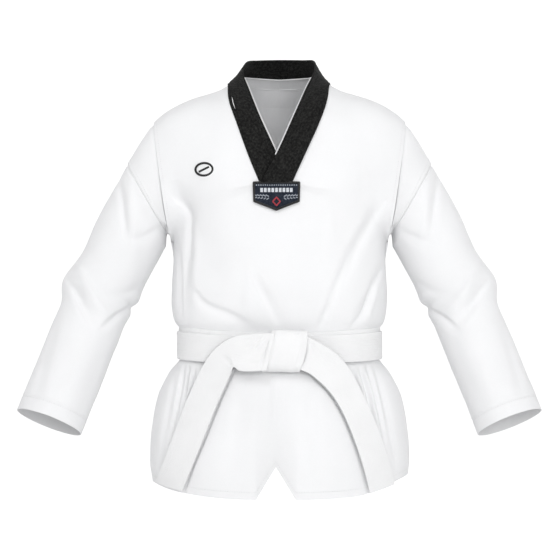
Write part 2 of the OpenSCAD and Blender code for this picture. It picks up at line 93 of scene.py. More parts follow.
def along(table, x):
    """A smooth curve through a table of (key, value), where a value is a number or a point."""
    keys = np.array([row[0] for row in table], float)
    vals = np.array([row[1] for row in table], float)
    flat = vals.ndim == 1
    vals = vals.reshape(len(keys), -1)
    x = np.asarray(x, float)
    i = np.clip(np.searchsorted(keys, x, side="right") - 1, 0, len(keys) - 2)
    n = np.arange(len(keys))
    a, b = np.maximum(n - 1, 0), np.minimum(n + 1, len(keys) - 1)
    slope = (vals[b] - vals[a]) / (keys[b] - keys[a])[:, None]
    h = (keys[i + 1] - keys[i])[..., None]
    t = np.clip((x[..., None] - keys[i][..., None]) / h, 0, 1)
    out = (2 * t**3 - 3 * t**2 + 1) * vals[i] + (t**3 - 2 * t**2 + t) * h * slope[i]
    out += (3 * t**2 - 2 * t**3) * vals[i + 1] + (t**3 - t**2) * h * slope[i + 1]
    return out[..., 0] if flat else out


def route(points, t):
    """A smooth curve through bare points, keyed from 0 to 1."""
    return along([(i / (len(points) - 1), p) for i, p in enumerate(points)], t)


def soft_min(a, b, k):
    """The smaller of two values, with their meeting rounded over a width k."""
    h = np.maximum(k - np.abs(a - b), 0) / k
    return np.minimum(a, b) - h * h * k / 4


def soft_max(a, b, k):
    return -soft_min(-a, -b, k)


def to_line(p, a, b):
    """Distance from points to the straight line between a and b."""
    d = b - a
    t = np.clip((p - a) @ d / (d @ d), 0, 1)
    return np.linalg.norm(p - a - t[..., None] * d, axis=-1)


def field(p):
    """The form of the body and the sleeves: negative inside, and about the distance from it outside."""
    a, b = along(HALF_WIDTHS, p[..., 2]), along(HALF_DEPTHS, p[..., 2])
    q = (np.abs(p[..., 0]) / a) ** SQUARENESS + (np.abs(p[..., 1] - CENTRE) / b) ** SQUARENESS
    body = (q ** (1 / SQUARENESS) - 1) * b
    roof = (p[..., 2] - ROOF_HEIGHT - (ROOF_START - np.abs(p[..., 0])) * ROOF_SLOPE) * ROOF_SCALE
    m = p.copy()
    m[..., 0] = np.abs(m[..., 0])
    upper = to_line(m, SHOULDER, ELBOW) - UPPER_RADIUS
    lower = to_line(m, ELBOW, CUFF + (CUFF - ELBOW) * PAST_CUFF) - LOWER_RADIUS
    sleeve = soft_max(soft_min(upper, lower, 0.02), roof, 0.045)
    joint = 0.014 + 0.040 * ease(p[..., 2], -0.275, -0.205)
    return soft_min(soft_max(body, roof, 0.095), sleeve, joint)


def outward(p, e=0.0006):
    """Direction away from the form, which is square to its surface."""
    return unit(np.stack([field(p + d) - field(p - d) for d in np.eye(3) * e], -1))


def reach(c, d, far=0.26, steps=19):
    """Distance from points inside the form, along d, to its surface."""
    near = np.zeros(c.shape[:-1])
    far = np.broadcast_to(np.asarray(far, float), near.shape).copy()
    for _ in range(steps):
        m = (near + far) / 2
        inside = field(c + d * m[..., None]) < 0
        near, far = np.where(inside, m, near), np.where(inside, far, m)
    return near


def on_form(x, z, side):
    """The point of the form's front (side -1) or back (side 1) at a place in front view."""
    x, z = np.broadcast_arrays(np.asarray(x, float), np.asarray(z, float))
    start = np.stack([x, np.full(x.shape, CENTRE), z], -1)
    d = np.zeros(start.shape)
    d[..., 1] = side
    r = np.where(field(start) >= 0, 0, reach(start, d))
    return start + d * r[..., None]


# --- relief: folds and unevenness ------------------------------------------------------------
SCATTER, MIXER = np.array([374761393, 668265263, 2147483647]), 1274126177  # large odd numbers


def lattice(p, scale, seed):
    """Smooth random values between -1 and 1 over space."""
    q = p / scale + seed * 7.31
    i = np.floor(q).astype(np.int64)
    f = q - i
    f = f * f * (3 - 2 * f)
    out = 0
    for corner in np.ndindex(2, 2, 2):
        c = i + np.array(corner)
        h = (c @ SCATTER + seed * MIXER) & 0xFFFFFFFF
        h = ((h ^ (h >> 13)) * MIXER) & 0xFFFFFFFF
        v = ((h ^ (h >> 16)) & 0xFFFF) / 32767.5 - 1
        w = np.prod(np.where(np.array(corner), f, 1 - f), axis=-1)
        out = out + v * w
    return out


def uneven(p, seed=1):
    """Small gentle waves of the cloth."""
    return 0.0011 * lattice(p, 0.07, seed) + 0.0005 * lattice(p, 0.027, seed + 3)


def folds(x, z, lines):
    """Height of the cloth over a list of folds, each (points, height, width, skew) in front view.
    A negative height is a valley. Skew makes one flank of the fold steeper than the other."""
    total = np.zeros(np.shape(x))
    flat = np.stack([np.ravel(x), np.ravel(z)], -1)
    for points, height, width, skew in lines:
        line = route(points, np.linspace(0, 1, 14))
        best, signed, at = np.full(len(flat), 1e9), np.zeros(len(flat)), np.zeros(len(flat))
        close = np.all((flat > line.min(0) - 4 * width) & (flat < line.max(0) + 4 * width), axis=-1)
        pts = flat[close]
        b, s, a = best[close], signed[close], at[close]
        for k in range(len(line) - 1):
            d = line[k + 1] - line[k]
            t = np.clip((pts - line[k]) @ d / (d @ d), 0, 1)
            off = pts - line[k] - t[:, None] * d
            dist = np.linalg.norm(off, axis=-1)
            near = dist < b
            b = np.where(near, dist, b)
            s = np.where(near, np.sign(d[0] * off[:, 1] - d[1] * off[:, 0]), s)
            a = np.where(near, (k + t) / (len(line) - 1), a)
        w = width * (1 + skew * s) * (0.75 + 0.5 * a)
        taper = np.sin(np.pi * np.clip(a * 0.92 + 0.04, 0, 1)) ** 0.7
        out = np.zeros(len(flat))
        out[close] = height * np.exp(-((b / w) ** 2)) * taper
        total += out.reshape(np.shape(x))
    return total


# --- meshes ------------------------------------------------------------------------------------
def grid_faces(rows, cols, ring=False):
    """Four-cornered faces of a grid of points; in a ring the last column joins the first."""
    r, c = np.meshgrid(np.arange(rows - 1), np.arange(cols if ring else cols - 1), indexing="ij")
    n = (c + 1) % cols
    return np.stack([r * cols + c, r * cols + n, (r + 1) * cols + n, (r + 1) * cols + c], -1).reshape(-1, 4)


def grid_uv(g, ring=False):
    """Distances along a grid's columns and rows, in metres, as texture coordinates of each face corner."""
    ext = np.concatenate([g, g[:, :1]], 1) if ring else g
    steps = np.linalg.norm(np.diff(ext, axis=1), axis=-1)
    u = np.concatenate([np.zeros((len(g), 1)), np.cumsum(steps, 1)], 1)
    u -= u[:, u.shape[1] // 2, None]
    step = np.linalg.norm(np.diff(g, axis=0), axis=-1).mean(1)
    v = np.concatenate([[0], np.cumsum(step)])[:, None] + np.zeros_like(u)
    uv = np.stack([u, v], -1)
    r, c = np.meshgrid(np.arange(len(g) - 1), np.arange(u.shape[1] - 1), indexing="ij")
    return np.stack([uv[r, c], uv[r, c + 1], uv[r + 1, c + 1], uv[r + 1, c]], -2).reshape(-1, 4, 2)


def grid_normals(g, ring=False):
    """Directions square to a grid of points."""
    across = np.roll(g, -1, 1) - np.roll(g, 1, 1) if ring else np.gradient(g, axis=1)
    return unit(np.cross(across, np.gradient(g, axis=0)))


def turned(n, row, col, way):
    """Normals of a grid, all turned over if the one at a row and column points away from a direction."""
    return n if np.sum(n[row, col] * way) >= 0 else -n


def face_normals(points, faces):
    a, b = points[faces[:, 2]] - points[faces[:, 0]], points[faces[:, 3]] - points[faces[:, 1]]
    return np.cross(a, b)


def vertex_normals(points, faces):
    n = np.zeros_like(points)
    f = face_normals(points, faces)
    for k in range(4):
        np.add.at(n, faces[:, k], f)
    return unit(n)


def weld(points, faces):
    """Finds points within 0.05 mm of each other; gives the kept points and the faces that use them."""
    key = np.round(points * 20000).astype(np.int64)
    _, first, new = np.unique(key, axis=0, return_index=True, return_inverse=True)
    return first, new.reshape(-1)[faces]


def new_object(name, points, faces, uv, material, shading=None):
    """A smooth mesh. uv holds a place for each face corner in turn, and shading a normal for each."""
    mesh = bpy.data.meshes.new(name)
    mesh.from_pydata(np.asarray(points).tolist(), [], faces if isinstance(faces, list) else faces.tolist())
    layer = mesh.uv_layers.new(name="cloth")
    if uv is not None:
        layer.data.foreach_set("uv", np.ascontiguousarray(uv, dtype=np.float32).reshape(-1))
    mesh.shade_smooth()
    mesh.materials.append(material)
    if shading is not None:
        mesh.normals_split_custom_set(shading.reshape(-1, 3).tolist())
    obj = bpy.data.objects.new(name, mesh)
    bpy.context.scene.collection.objects.link(obj)
    return obj


def cloth(name, points, faces, uv, material, thickness=CLOTH, normals=None):
    """A sheet with a face side, a back side thickness inside it, and an edge round each opening."""
    n = vertex_normals(points, faces) if normals is None else normals
    if np.sum(face_normals(points, faces) * n[faces[:, 0]]) < 0:
        faces, uv = faces[:, ::-1], uv[:, ::-1]
    count = len(points)
    edges = np.concatenate([faces[:, [k, (k + 1) % 4]] for k in range(4)])
    key = np.sort(edges, 1)
    _, index, hits = np.unique(key[:, 0] * count + key[:, 1], return_index=True, return_counts=True)
    rim = edges[index[hits == 1]]
    rim_faces = np.stack([rim[:, 1], rim[:, 0], rim[:, 0] + count, rim[:, 1] + count], -1)
    all_points = np.concatenate([points, points - n * thickness])
    all_faces = np.concatenate([faces, faces[:, ::-1] + count, rim_faces])
    all_uv = np.concatenate([uv, uv[:, ::-1], np.zeros((len(rim), 4, 2))])
    shading = np.concatenate([n[faces], -n[faces[:, ::-1]], np.zeros((len(rim), 4, 3))])
    return new_object(name, all_points, all_faces, all_uv, material, shading)


def cloth_grid(name, grid, material, thickness=CLOTH, ring=False, normals=None):
    rows, cols = grid.shape[:2]
    n = None if normals is None else normals.reshape(-1, 3)
    faces, uv = grid_faces(rows, cols, ring), grid_uv(grid, ring)
    return cloth(name, grid.reshape(-1, 3), faces, uv, material, thickness, n)


def face_outwards(mesh):
    """Turns all faces of a closed mesh outwards."""
    b = bmesh.new()
    b.from_mesh(mesh)
    bmesh.ops.recalc_face_normals(b, faces=b.faces)
    b.to_mesh(mesh)
    b.free()


def solid(name, section, material, ring=False, caps=None, crosswise=False):
    """A closed mesh around rows of section points. A ring joins the last row to the first. Otherwise caps
    close the ends, with one face each unless others are given. crosswise turns the weave a quarter turn."""
    rows, cols = section.shape[:2]
    points = section.reshape(-1, 3)
    if ring:
        section, caps = np.concatenate([section, section[:1]]), []
    elif caps is None:
        last = (rows - 1) * cols
        caps = [list(range(cols)), list(range(last, last + cols))[::-1]]
    faces = grid_faces(len(section), cols, True) % (rows * cols)
    uv = grid_uv(section, True)
    uv = (uv[..., ::-1] if crosswise else uv).reshape(-1, 2)
    uv = np.concatenate([uv, np.zeros((sum(map(len, caps)), 2))])
    obj = new_object(name, points, faces.tolist() + caps, uv, material)
    face_outwards(obj.data)
    return obj


def join_meshes(name, objs):
    """Joins objects into one, which gets a new name."""
    bpy.ops.object.select_all(action="DESELECT")
    for o in objs:
        o.select_set(True)
    bpy.context.view_layer.objects.active = objs[0]
    bpy.ops.object.join()
    objs[0].name = name
    return objs[0]


# --- materials -----------------------------------------------------------------------------------
class Shader:
    """A material made of nodes, with short calls for the kinds used here."""

    def __init__(self, name, colour, rough, sheen=0.0, sheen_rough=0.5, specular=0.3):
        self.mat = bpy.data.materials.new(name)
        self.mat.use_nodes = True
        self.tree = self.mat.node_tree
        self.out = self.tree.nodes["Principled BSDF"]
        self.out.inputs["Base Color"].default_value = (*colour, 1)
        self.out.inputs["Roughness"].default_value = rough
        self.out.inputs["Sheen Weight"].default_value = sheen
        self.out.inputs["Sheen Roughness"].default_value = sheen_rough
        self.out.inputs["Specular IOR Level"].default_value = specular

    def node(self, kind, values=(), **settings):
        n = self.tree.nodes.new("ShaderNode" + kind)
        for key, value in settings.items():
            setattr(n, key, value)
        for key, value in dict(values).items():
            if isinstance(value, bpy.types.NodeSocket):
                self.tree.links.new(value, n.inputs[key])
            else:
                n.inputs[key].default_value = value
        return n

    def maths(self, operation, a, b=0.0):
        return self.node("Math", {0: a, 1: b}, operation=operation).outputs[0]

    def weave_axes(self):
        """Metres along and across the cloth."""
        uv = self.node("UVMap", uv_map="cloth").outputs[0]
        split = self.node("SeparateXYZ", {0: uv})
        return split.outputs[0], split.outputs[1]

    def wave(self, value, pitch):
        """A sine of a distance that repeats every pitch, from -1 to 1."""
        return self.maths("SINE", self.maths("MULTIPLY", value, 2 * math.pi / pitch))

    def noise(self, scale, detail=2.0, rough=0.5):
        where = self.node("TexCoord").outputs["Object"]
        values = {"Vector": where, "Scale": scale, "Detail": detail, "Roughness": rough}
        return self.node("TexNoise", values).outputs["Fac"]

    def bump(self, height, distance, strength=1.0):
        values = {"Height": height, "Distance": distance, "Strength": strength}
        before = self.out.inputs["Normal"]
        if before.links:
            values["Normal"] = before.links[0].from_socket
        self.tree.links.new(self.node("Bump", values).outputs[0], before)

    def colours(self, factor, low, high, low_at=0.3, high_at=0.7):
        ramp = self.node("ValToRGB", {0: factor})
        ramp.color_ramp.elements[0].position = low_at
        ramp.color_ramp.elements[0].color = (*low, 1)
        ramp.color_ramp.elements[1].position = high_at
        ramp.color_ramp.elements[1].color = (*high, 1)
        self.tree.links.new(ramp.outputs[0], self.out.inputs["Base Color"])


def pearl_weave(name, colour, pitch=0.0022):
    """Cotton with the small raised grains of a pearl weave."""
    s = Shader(name, colour, 0.86, sheen=0.05, sheen_rough=0.45, specular=0.25)
    u, v = s.weave_axes()
    grain = s.maths("MULTIPLY", s.wave(s.maths("ADD", u, v), pitch), s.wave(s.maths("SUBTRACT", u, v), pitch))
    thread = s.maths("ADD", s.wave(u, 0.00055), s.wave(v, 0.00055))
    s.bump(grain, 0.00016, 0.75)
    s.bump(thread, 0.00004, 0.5)
    cloud = s.maths("ADD", s.noise(9, 4), s.maths("MULTIPLY", s.noise(420, 1), 0.35))
    darker = [c * 0.955 for c in colour]
    s.colours(cloud, darker, colour, 0.45, 0.95)
    return s.mat


def strap_weave(name, colour):
    """A tight plain weave with fine cross ribs, for the stitched belt."""
    s = Shader(name, colour, 0.8, sheen=0.05, sheen_rough=0.4, specular=0.28)
    u, v = s.weave_axes()
    s.bump(s.maths("ADD", s.wave(u, 0.0011), s.wave(v, 0.0008)), 0.00009, 0.7)
    cloud = s.maths("ADD", s.noise(14, 3), s.maths("MULTIPLY", s.noise(500, 1), 0.3))
    s.colours(cloud, [c * 0.95 for c in colour], colour, 0.4, 0.9)
    return s.mat


def twill(name, dark, light):
    """Black cloth with fine diagonal ribs and paler flecks."""
    s = Shader(name, dark, 0.78, sheen=0.03, sheen_rough=0.4, specular=0.16)
    u, v = s.weave_axes()
    rib = s.wave(s.maths("ADD", u, s.maths("MULTIPLY", v, 0.8)), 0.0024)
    cross = s.wave(s.maths("SUBTRACT", u, s.maths("MULTIPLY", v, 0.6)), 0.0013)
    grain = s.maths("ADD", rib, s.maths("MULTIPLY", cross, 0.5))
    s.bump(grain, 0.00022, 0.9)
    speck = s.maths("MULTIPLY", s.noise(260, 2, 0.7), s.maths("ADD", s.maths("MULTIPLY", rib, 0.2), 1.0))
    s.colours(speck, dark, light, 0.40, 0.78)
    return s.mat


def thread(name, colour, pitch=0.0009):
    """Satin stitch: close parallel threads with a soft shine."""
    s = Shader(name, colour, 0.48, sheen=0.1, specular=0.45)
    u, _ = s.weave_axes()
    s.bump(s.wave(u, pitch), 0.00012, 0.8)
    s.colours(s.noise(600, 2), [c * 0.75 for c in colour], colour, 0.35, 0.65)
    return s.mat


white = pearl_weave("white_cotton", (0.855, 0.858, 0.868))
belt_white = strap_weave("belt_cotton", (0.86, 0.862, 0.868))
black = twill("black_twill", (0.0018, 0.0018, 0.0018), (0.0300, 0.0300, 0.0285))
black_satin = thread("black_satin", (0.008, 0.008, 0.009))
patch_ground = twill("patch_ground", (0.010, 0.014, 0.024), (0.035, 0.043, 0.062))
grey_thread = thread("grey_thread", (0.36, 0.39, 0.44))
pale_thread = thread("pale_thread", (0.72, 0.75, 0.80))
red_thread = thread("red_thread", (0.42, 0.030, 0.045))
white_thread = thread("white_thread", (0.84, 0.845, 0.855), 0.0006)
piping_white = strap_weave("piping_cotton", (0.80, 0.80, 0.81))


# --- the body of the jacket ----------------------------------------------------------------------
PANEL_FOOT = -0.474  # height of the lower edge of the front and the back
NECK_SIDE = 0.088  # distance from the middle to the neck opening on the shoulder line
ARMHOLE_TOP, ARMHOLE_FOOT = (0.219, -0.062), (0.193, -0.256)

RIDGE_STEPS, BELOW_RIDGE = 240, -0.2
ridge_x = np.linspace(0, 0.3, RIDGE_STEPS)
ridge_start = np.stack([ridge_x, np.full(RIDGE_STEPS, CENTRE), np.full(RIDGE_STEPS, BELOW_RIDGE)], -1)
ridge_z = reach(ridge_start, np.broadcast_to([0.0, 0.0, 1.0], (RIDGE_STEPS, 3))) + BELOW_RIDGE


def ridge(x):
    """Height of the shoulder line over a distance from the middle."""
    return np.interp(np.abs(x), ridge_x, ridge_z)


def panel_side(v):
    """The side of a panel in front view: the side seam up to v = 0.5, then the armhole."""
    low = np.clip(v / 0.5, 0, 1)
    z = mix(PANEL_FOOT, ARMHOLE_FOOT[1], low)
    x = mix(along(HALF_WIDTHS, z), ARMHOLE_FOOT[0] - 0.0006, np.clip((v - 0.4) / 0.1, 0, 1))
    high = np.clip((v - 0.5) / 0.5, 0, 1)
    top = float(ridge(ARMHOLE_TOP[0]))
    ux = mix(ARMHOLE_FOOT[0], ARMHOLE_TOP[0], high) - 0.0006
    uz = mix(ARMHOLE_FOOT[1], top, high)
    return np.where(v < 0.5, x, ux), np.where(v < 0.5, z, uz)


# Outer edge of each band in front view, from the shoulder line to the foot of the V
SEAM_EDGE = {
    "left": [(0.0850, 0.004), (0.0800, -0.032), (0.0665, -0.072), (0.0440, -0.122), (0.0216, -0.1715)],
    "right": [(0.0880, 0.002), (0.0855, -0.030), (0.0720, -0.071), (0.0520, -0.127), (0.0337, -0.1715)],
}
SEAM_COVER = 0.006  # how far a band reaches over the edge of the front


def front_opening(t, side):
    """The neck opening of the front, a little inside the outer edges of the bands."""
    foot = SEAM_EDGE[side][-1]
    a, b = np.clip(t / 0.2, 0, 1), np.clip((t - 0.2) / 0.8, 0, 1)
    line = route(SEAM_EDGE[side][::-1], b)
    high = ease(b, 0.75, 1.0)
    x = np.where(t < 0.2, mix(0, foot[0] - SEAM_COVER, a), mix(line[..., 0] - SEAM_COVER, NECK_SIDE, high))
    z = np.where(t < 0.2, foot[1] - 0.001, mix(line[..., 1], float(ridge(NECK_SIDE)), ease(b, 0.9, 1.0)))
    return x, z


def back_opening(t):
    """The neck opening of the back; it stays below the shoulder line until it meets the front."""
    x = NECK_SIDE * np.sin(np.pi / 2 * t)
    high = mix(0.009, float(ridge(NECK_SIDE)), t**3)
    return x, soft_min(high, ridge(x) - 0.012 * (1 - t), 0.004 * (1 - t) + 1e-6)


def opening(face, t, side):
    return front_opening(t, side) if face < 0 else back_opening(t)


def half_panel(side, hand, rows, cols, split):
    """Grid on the form from the foot of a panel to the shoulder line, and from its middle outwards."""
    v = np.linspace(0, 1, rows + 1)
    foot = np.clip((v - split) / (1 - split), 0, 1)
    ox, oz = opening(side, foot, hand)
    start_z = float(opening(side, np.array(0.0), hand)[1])
    ax = np.where(v <= split, 0, ox)
    az = np.where(v <= split, mix(PANEL_FOOT, start_z, np.clip(v / split, 0, 1)), oz)
    bx, bz = panel_side(v)
    c = np.linspace(0, 1, cols + 1)
    k = mix(c, np.sin(np.pi / 2 * c), 0.6)
    x = ax[:, None] + (bx - ax)[:, None] * k
    z = az[:, None] + (bz - az)[:, None] * k
    line_x = ax[-1] + (bx[-1] - ax[-1]) * k
    line_z = az[-1] + (bz[-1] - az[-1]) * k
    z = np.minimum(z + (ridge(line_x) - line_z) * v[:, None] ** 6, ridge(x))
    p = on_form(x, z, side)
    p[-1, :, 1] = CENTRE
    p[-1, :, 2] = ridge(x[-1])
    low = p[..., 2] < ARMHOLE_FOOT[1]
    edge = np.zeros(p.shape[:2], bool)
    edge[:, -1] = True
    p[..., 1] = np.where(edge & low, CENTRE, p[..., 1])
    return p


# Folds of the front, each (points in front view, height, width, skew)
FRONT_FOLDS = [
    ([(-0.185, -0.190), (-0.160, -0.222), (-0.156, -0.275), (-0.163, -0.331), (-0.160, -0.400)],
     -0.0062, 0.0085, 0.35),
    ([(-0.150, -0.232), (-0.145, -0.285), (-0.151, -0.345)], 0.0030, 0.009, 0.0),
    ([(-0.171, -0.290), (-0.172, -0.345), (-0.169, -0.405)], -0.0036, 0.0045, -0.3),
    ([(0.178, -0.200), (0.155, -0.243), (0.126, -0.294), (0.103, -0.352)], -0.0058, 0.0120, -0.35),
    ([(0.150, -0.222), (0.122, -0.268), (0.098, -0.318)], 0.0022, 0.010, 0.0),
    ([(0.176, -0.315), (0.156, -0.366), (0.133, -0.402)], -0.0048, 0.0070, -0.3),
    ([(0.170, -0.335), (0.158, -0.375), (0.148, -0.415)], 0.0026, 0.005, 0.0),
    ([(0.160, -0.338), (0.147, -0.386), (0.120, -0.418)], -0.0034, 0.0055, 0.3),
    ([(0.083, -0.378), (0.076, -0.396), (0.067, -0.418)], -0.0028, 0.0065, 0.2),
    ([(-0.148, -0.352), (-0.125, -0.378), (-0.085, -0.394), (-0.048, -0.414)], -0.0042, 0.0080, -0.3),
    ([(-0.044, -0.325), (-0.026, -0.362), (0.002, -0.412)], -0.0042, 0.0080, 0.25),
    ([(-0.182, -0.165), (-0.168, -0.205), (-0.152, -0.246)], -0.0055, 0.0170, 0.0),
    ([(0.116, -0.300), (0.094, -0.350), (0.072, -0.414)], -0.0030, 0.0070, 0.2),
    ([(-0.052, -0.310), (-0.051, -0.358), (-0.050, -0.404)], 0.0022, 0.0100, 0.0),
    ([(0.086, -0.220), (0.087, -0.250), (0.086, -0.284)], 0.0018, 0.0110, 0.0),
    ([(-0.125, -0.246), (-0.118, -0.300), (-0.122, -0.355)], -0.0028, 0.0260, 0.0),
    ([(0.040, -0.230), (0.035, -0.290), (0.045, -0.350)], -0.0014, 0.0240, 0.0),
]
# Folds of the back, in the same form
BACK_FOLDS = [
    ([(-0.178, -0.195), (-0.152, -0.250), (-0.130, -0.310), (-0.118, -0.375)], -0.0058, 0.011, 0.3),
    ([(0.180, -0.198), (0.158, -0.240), (0.143, -0.300), (0.140, -0.372)], -0.0060, 0.010, -0.3),
    ([(-0.168, -0.300), (-0.150, -0.352), (-0.138, -0.402)], -0.0040, 0.007, 0.2),
    ([(0.170, -0.318), (0.150, -0.366), (0.128, -0.404)], -0.0042, 0.007, -0.2),
    ([(-0.095, -0.335), (-0.070, -0.372), (-0.040, -0.404)], -0.0034, 0.009, 0.2),
    ([(0.085, -0.330), (0.062, -0.368), (0.030, -0.402)], -0.0034, 0.009, -0.2),
    ([(-0.060, -0.120), (0.000, -0.138), (0.062, -0.118)], -0.0022, 0.014, 0.0),
    ([(-0.020, -0.220), (-0.014, -0.290), (-0.020, -0.360)], 0.0020, 0.016, 0.0),
]
FOLD_DEPTH = 1.15


def relief(p, spread=0.05):
    """Height of the folds at a point of the form."""
    x, y, z = p[..., 0], p[..., 1] - CENTRE, p[..., 2]
    front, back = ease(-y, 0, spread), ease(y, 0, spread)
    return uneven(p) + FOLD_DEPTH * (front * folds(x, z, FRONT_FOLDS) + back * folds(x, z, BACK_FOLDS))


def dressed(p, lift):
    """Moves points of the form out to the cloth's face, plus a lift."""
    return p + outward(p) * (relief(p) + lift)[..., None]


PANEL_GRID = (190, 92)
PANEL_SPLIT = 0.55  # share of a panel's rows that lie below the neck opening


def body_panel(side):
    """Both halves of a panel: points, faces, uv and how near each point is to the armhole, from 0 to 1."""
    points, faces, uv, edge = [], [], [], []
    for hand, flip in SIDES.items():
        g = half_panel(side, hand, *PANEL_GRID, PANEL_SPLIT) * [flip, 1, 1]
        f = grid_faces(*g.shape[:2])
        t = grid_uv(g)
        t[..., 0] = (t[..., 0] + 0.15) * flip
        if (side < 0) == (flip < 0):
            f, t = f[:, ::-1], t[:, ::-1]
        from_side = np.linalg.norm(g[:, -1:] - g, axis=-1)
        near = (1 - ease(from_side, 0, 0.010)) * (g[:, -1:, 2] > ARMHOLE_FOOT[1] - 0.004)
        points.append(g.reshape(-1, 3))
        faces.append(f + g.shape[0] * g.shape[1] * len(faces))
        uv.append(t)
        edge.append(near.reshape(-1))
    return np.concatenate(points), np.concatenate(faces), np.concatenate(uv), np.concatenate(edge)


ARMHOLE_RAISE = 0.0004  # how much the body stands out along the armhole, over the sleeve's lip


def make_body():
    """The front and the back as one sheet, welded where they meet."""
    points, faces, uv, edge = zip(body_panel(-1), body_panel(1))
    faces = np.concatenate([faces[0], faces[1] + len(points[0])])
    points, uv, edge = np.concatenate(points), np.concatenate(uv), np.concatenate(edge)
    first, faces = weld(points, faces)
    points = points[first]
    points = points + outward(points) * (relief(points) + ARMHOLE_RAISE * edge[first])[:, None]
    kept = np.linalg.norm(face_normals(points, faces), axis=-1) > 1e-10
    return cloth("jacket_body", points, faces[kept], uv[kept], white)


jacket_body = make_body()


# --- sleeves ---------------------------------------------------------------------------------------
# A key is a distance along the sleeve in metres, from the armhole
SEAM_KEY = 0.040  # the slanted seam of the sleeve
ROUND_KEY = 0.090  # where the sleeve becomes round
SPLIT_KEY = 0.161  # where the upper sleeve ends and the forearm starts
BEND_KEYS = (0.150, 0.245)  # where the elbow's bend starts and ends
ELBOW_KEY = 0.196
CUFF_KEY = ELBOW_KEY + float(np.linalg.norm(CUFF - ELBOW))
CUFF_HEM = 0.025


def middle(top, foot):
    return ((top[0] + foot[0]) / 2, CENTRE, (top[1] + foot[1]) / 2)


def rise(top, foot):
    """The way from an opening's foot to its top in front view."""
    return unit(np.array([top[0] - foot[0], 0, top[1] - foot[1]]))


def across(way):
    """The way square to a direction in front view."""
    return unit(np.array([-way[2], 0, way[0]]))


CAP_TOP, CAP_FOOT = (0.265, -0.136), (0.196, -0.252)
# The sleeve's middle, the way to its outer side, its own way and the furthest its cloth can be, over the key
SLEEVE_CENTRES = [
    (0, middle(ARMHOLE_TOP, ARMHOLE_FOOT)), (SEAM_KEY, middle(CAP_TOP, CAP_FOOT)),
    (ROUND_KEY, ELBOW - UPPER_WAY * 0.106), (ELBOW_KEY, ELBOW), (CUFF_KEY, CUFF),
]
SLEEVE_RISES = [
    (0, rise(ARMHOLE_TOP, ARMHOLE_FOOT)), (SEAM_KEY, rise(CAP_TOP, CAP_FOOT)), (ROUND_KEY, across(UPPER_WAY)),
    (BEND_KEYS[0], across(UPPER_WAY)), (BEND_KEYS[1], across(LOWER_WAY)), (CUFF_KEY, across(LOWER_WAY)),
]
SLEEVE_WAYS = [
    (0, UPPER_WAY * [1, 0, 1]), (0.080, UPPER_WAY), (BEND_KEYS[0], UPPER_WAY), (BEND_KEYS[1], LOWER_WAY),
    (CUFF_KEY, LOWER_WAY),
]
SLEEVE_LIMITS = [(0, 0.098), (SEAM_KEY, 0.068), (ROUND_KEY, 0.066), (CUFF_KEY, 0.066)]


def on_sleeve(key, turn):
    """A point of the +X sleeve on the form; turn 0 is the outer side and a quarter turn the front."""
    key, turn = np.broadcast_arrays(np.asarray(key, float), np.asarray(turn, float))
    c, u, w = along(SLEEVE_CENTRES, key), along(SLEEVE_RISES, key), along(SLEEVE_WAYS, key)
    f = unit(FORWARD + w * (w[..., 1:2] / np.sum(w * w, -1, keepdims=True)))
    d = u * np.cos(turn)[..., None] + f * np.sin(turn)[..., None]
    return c + d * reach(c, d, along(SLEEVE_LIMITS, key))[..., None]


# Rises and hollows of the sleeve, each (key, turn in degrees, height, length, width in degrees)
SLEEVE_LUMPS = [
    (0.212, 10, 0.0056, 0.022, 44), (0.252, 4, -0.0010, 0.022, 40), (0.080, 0, 0.0045, 0.040, 60),
    (0.207, 180, -0.0066, 0.010, 44), (0.190, 180, 0.0014, 0.012, 44),
]


def lump(key, turn, at_key, at_turn, height, long, wide):
    """A rounded rise or hollow on a sleeve."""
    t = (turn - math.radians(at_turn) + np.pi) % (2 * np.pi) - np.pi
    return height * np.exp(-((key - at_key) / long) ** 2 - (t / math.radians(wide)) ** 2)


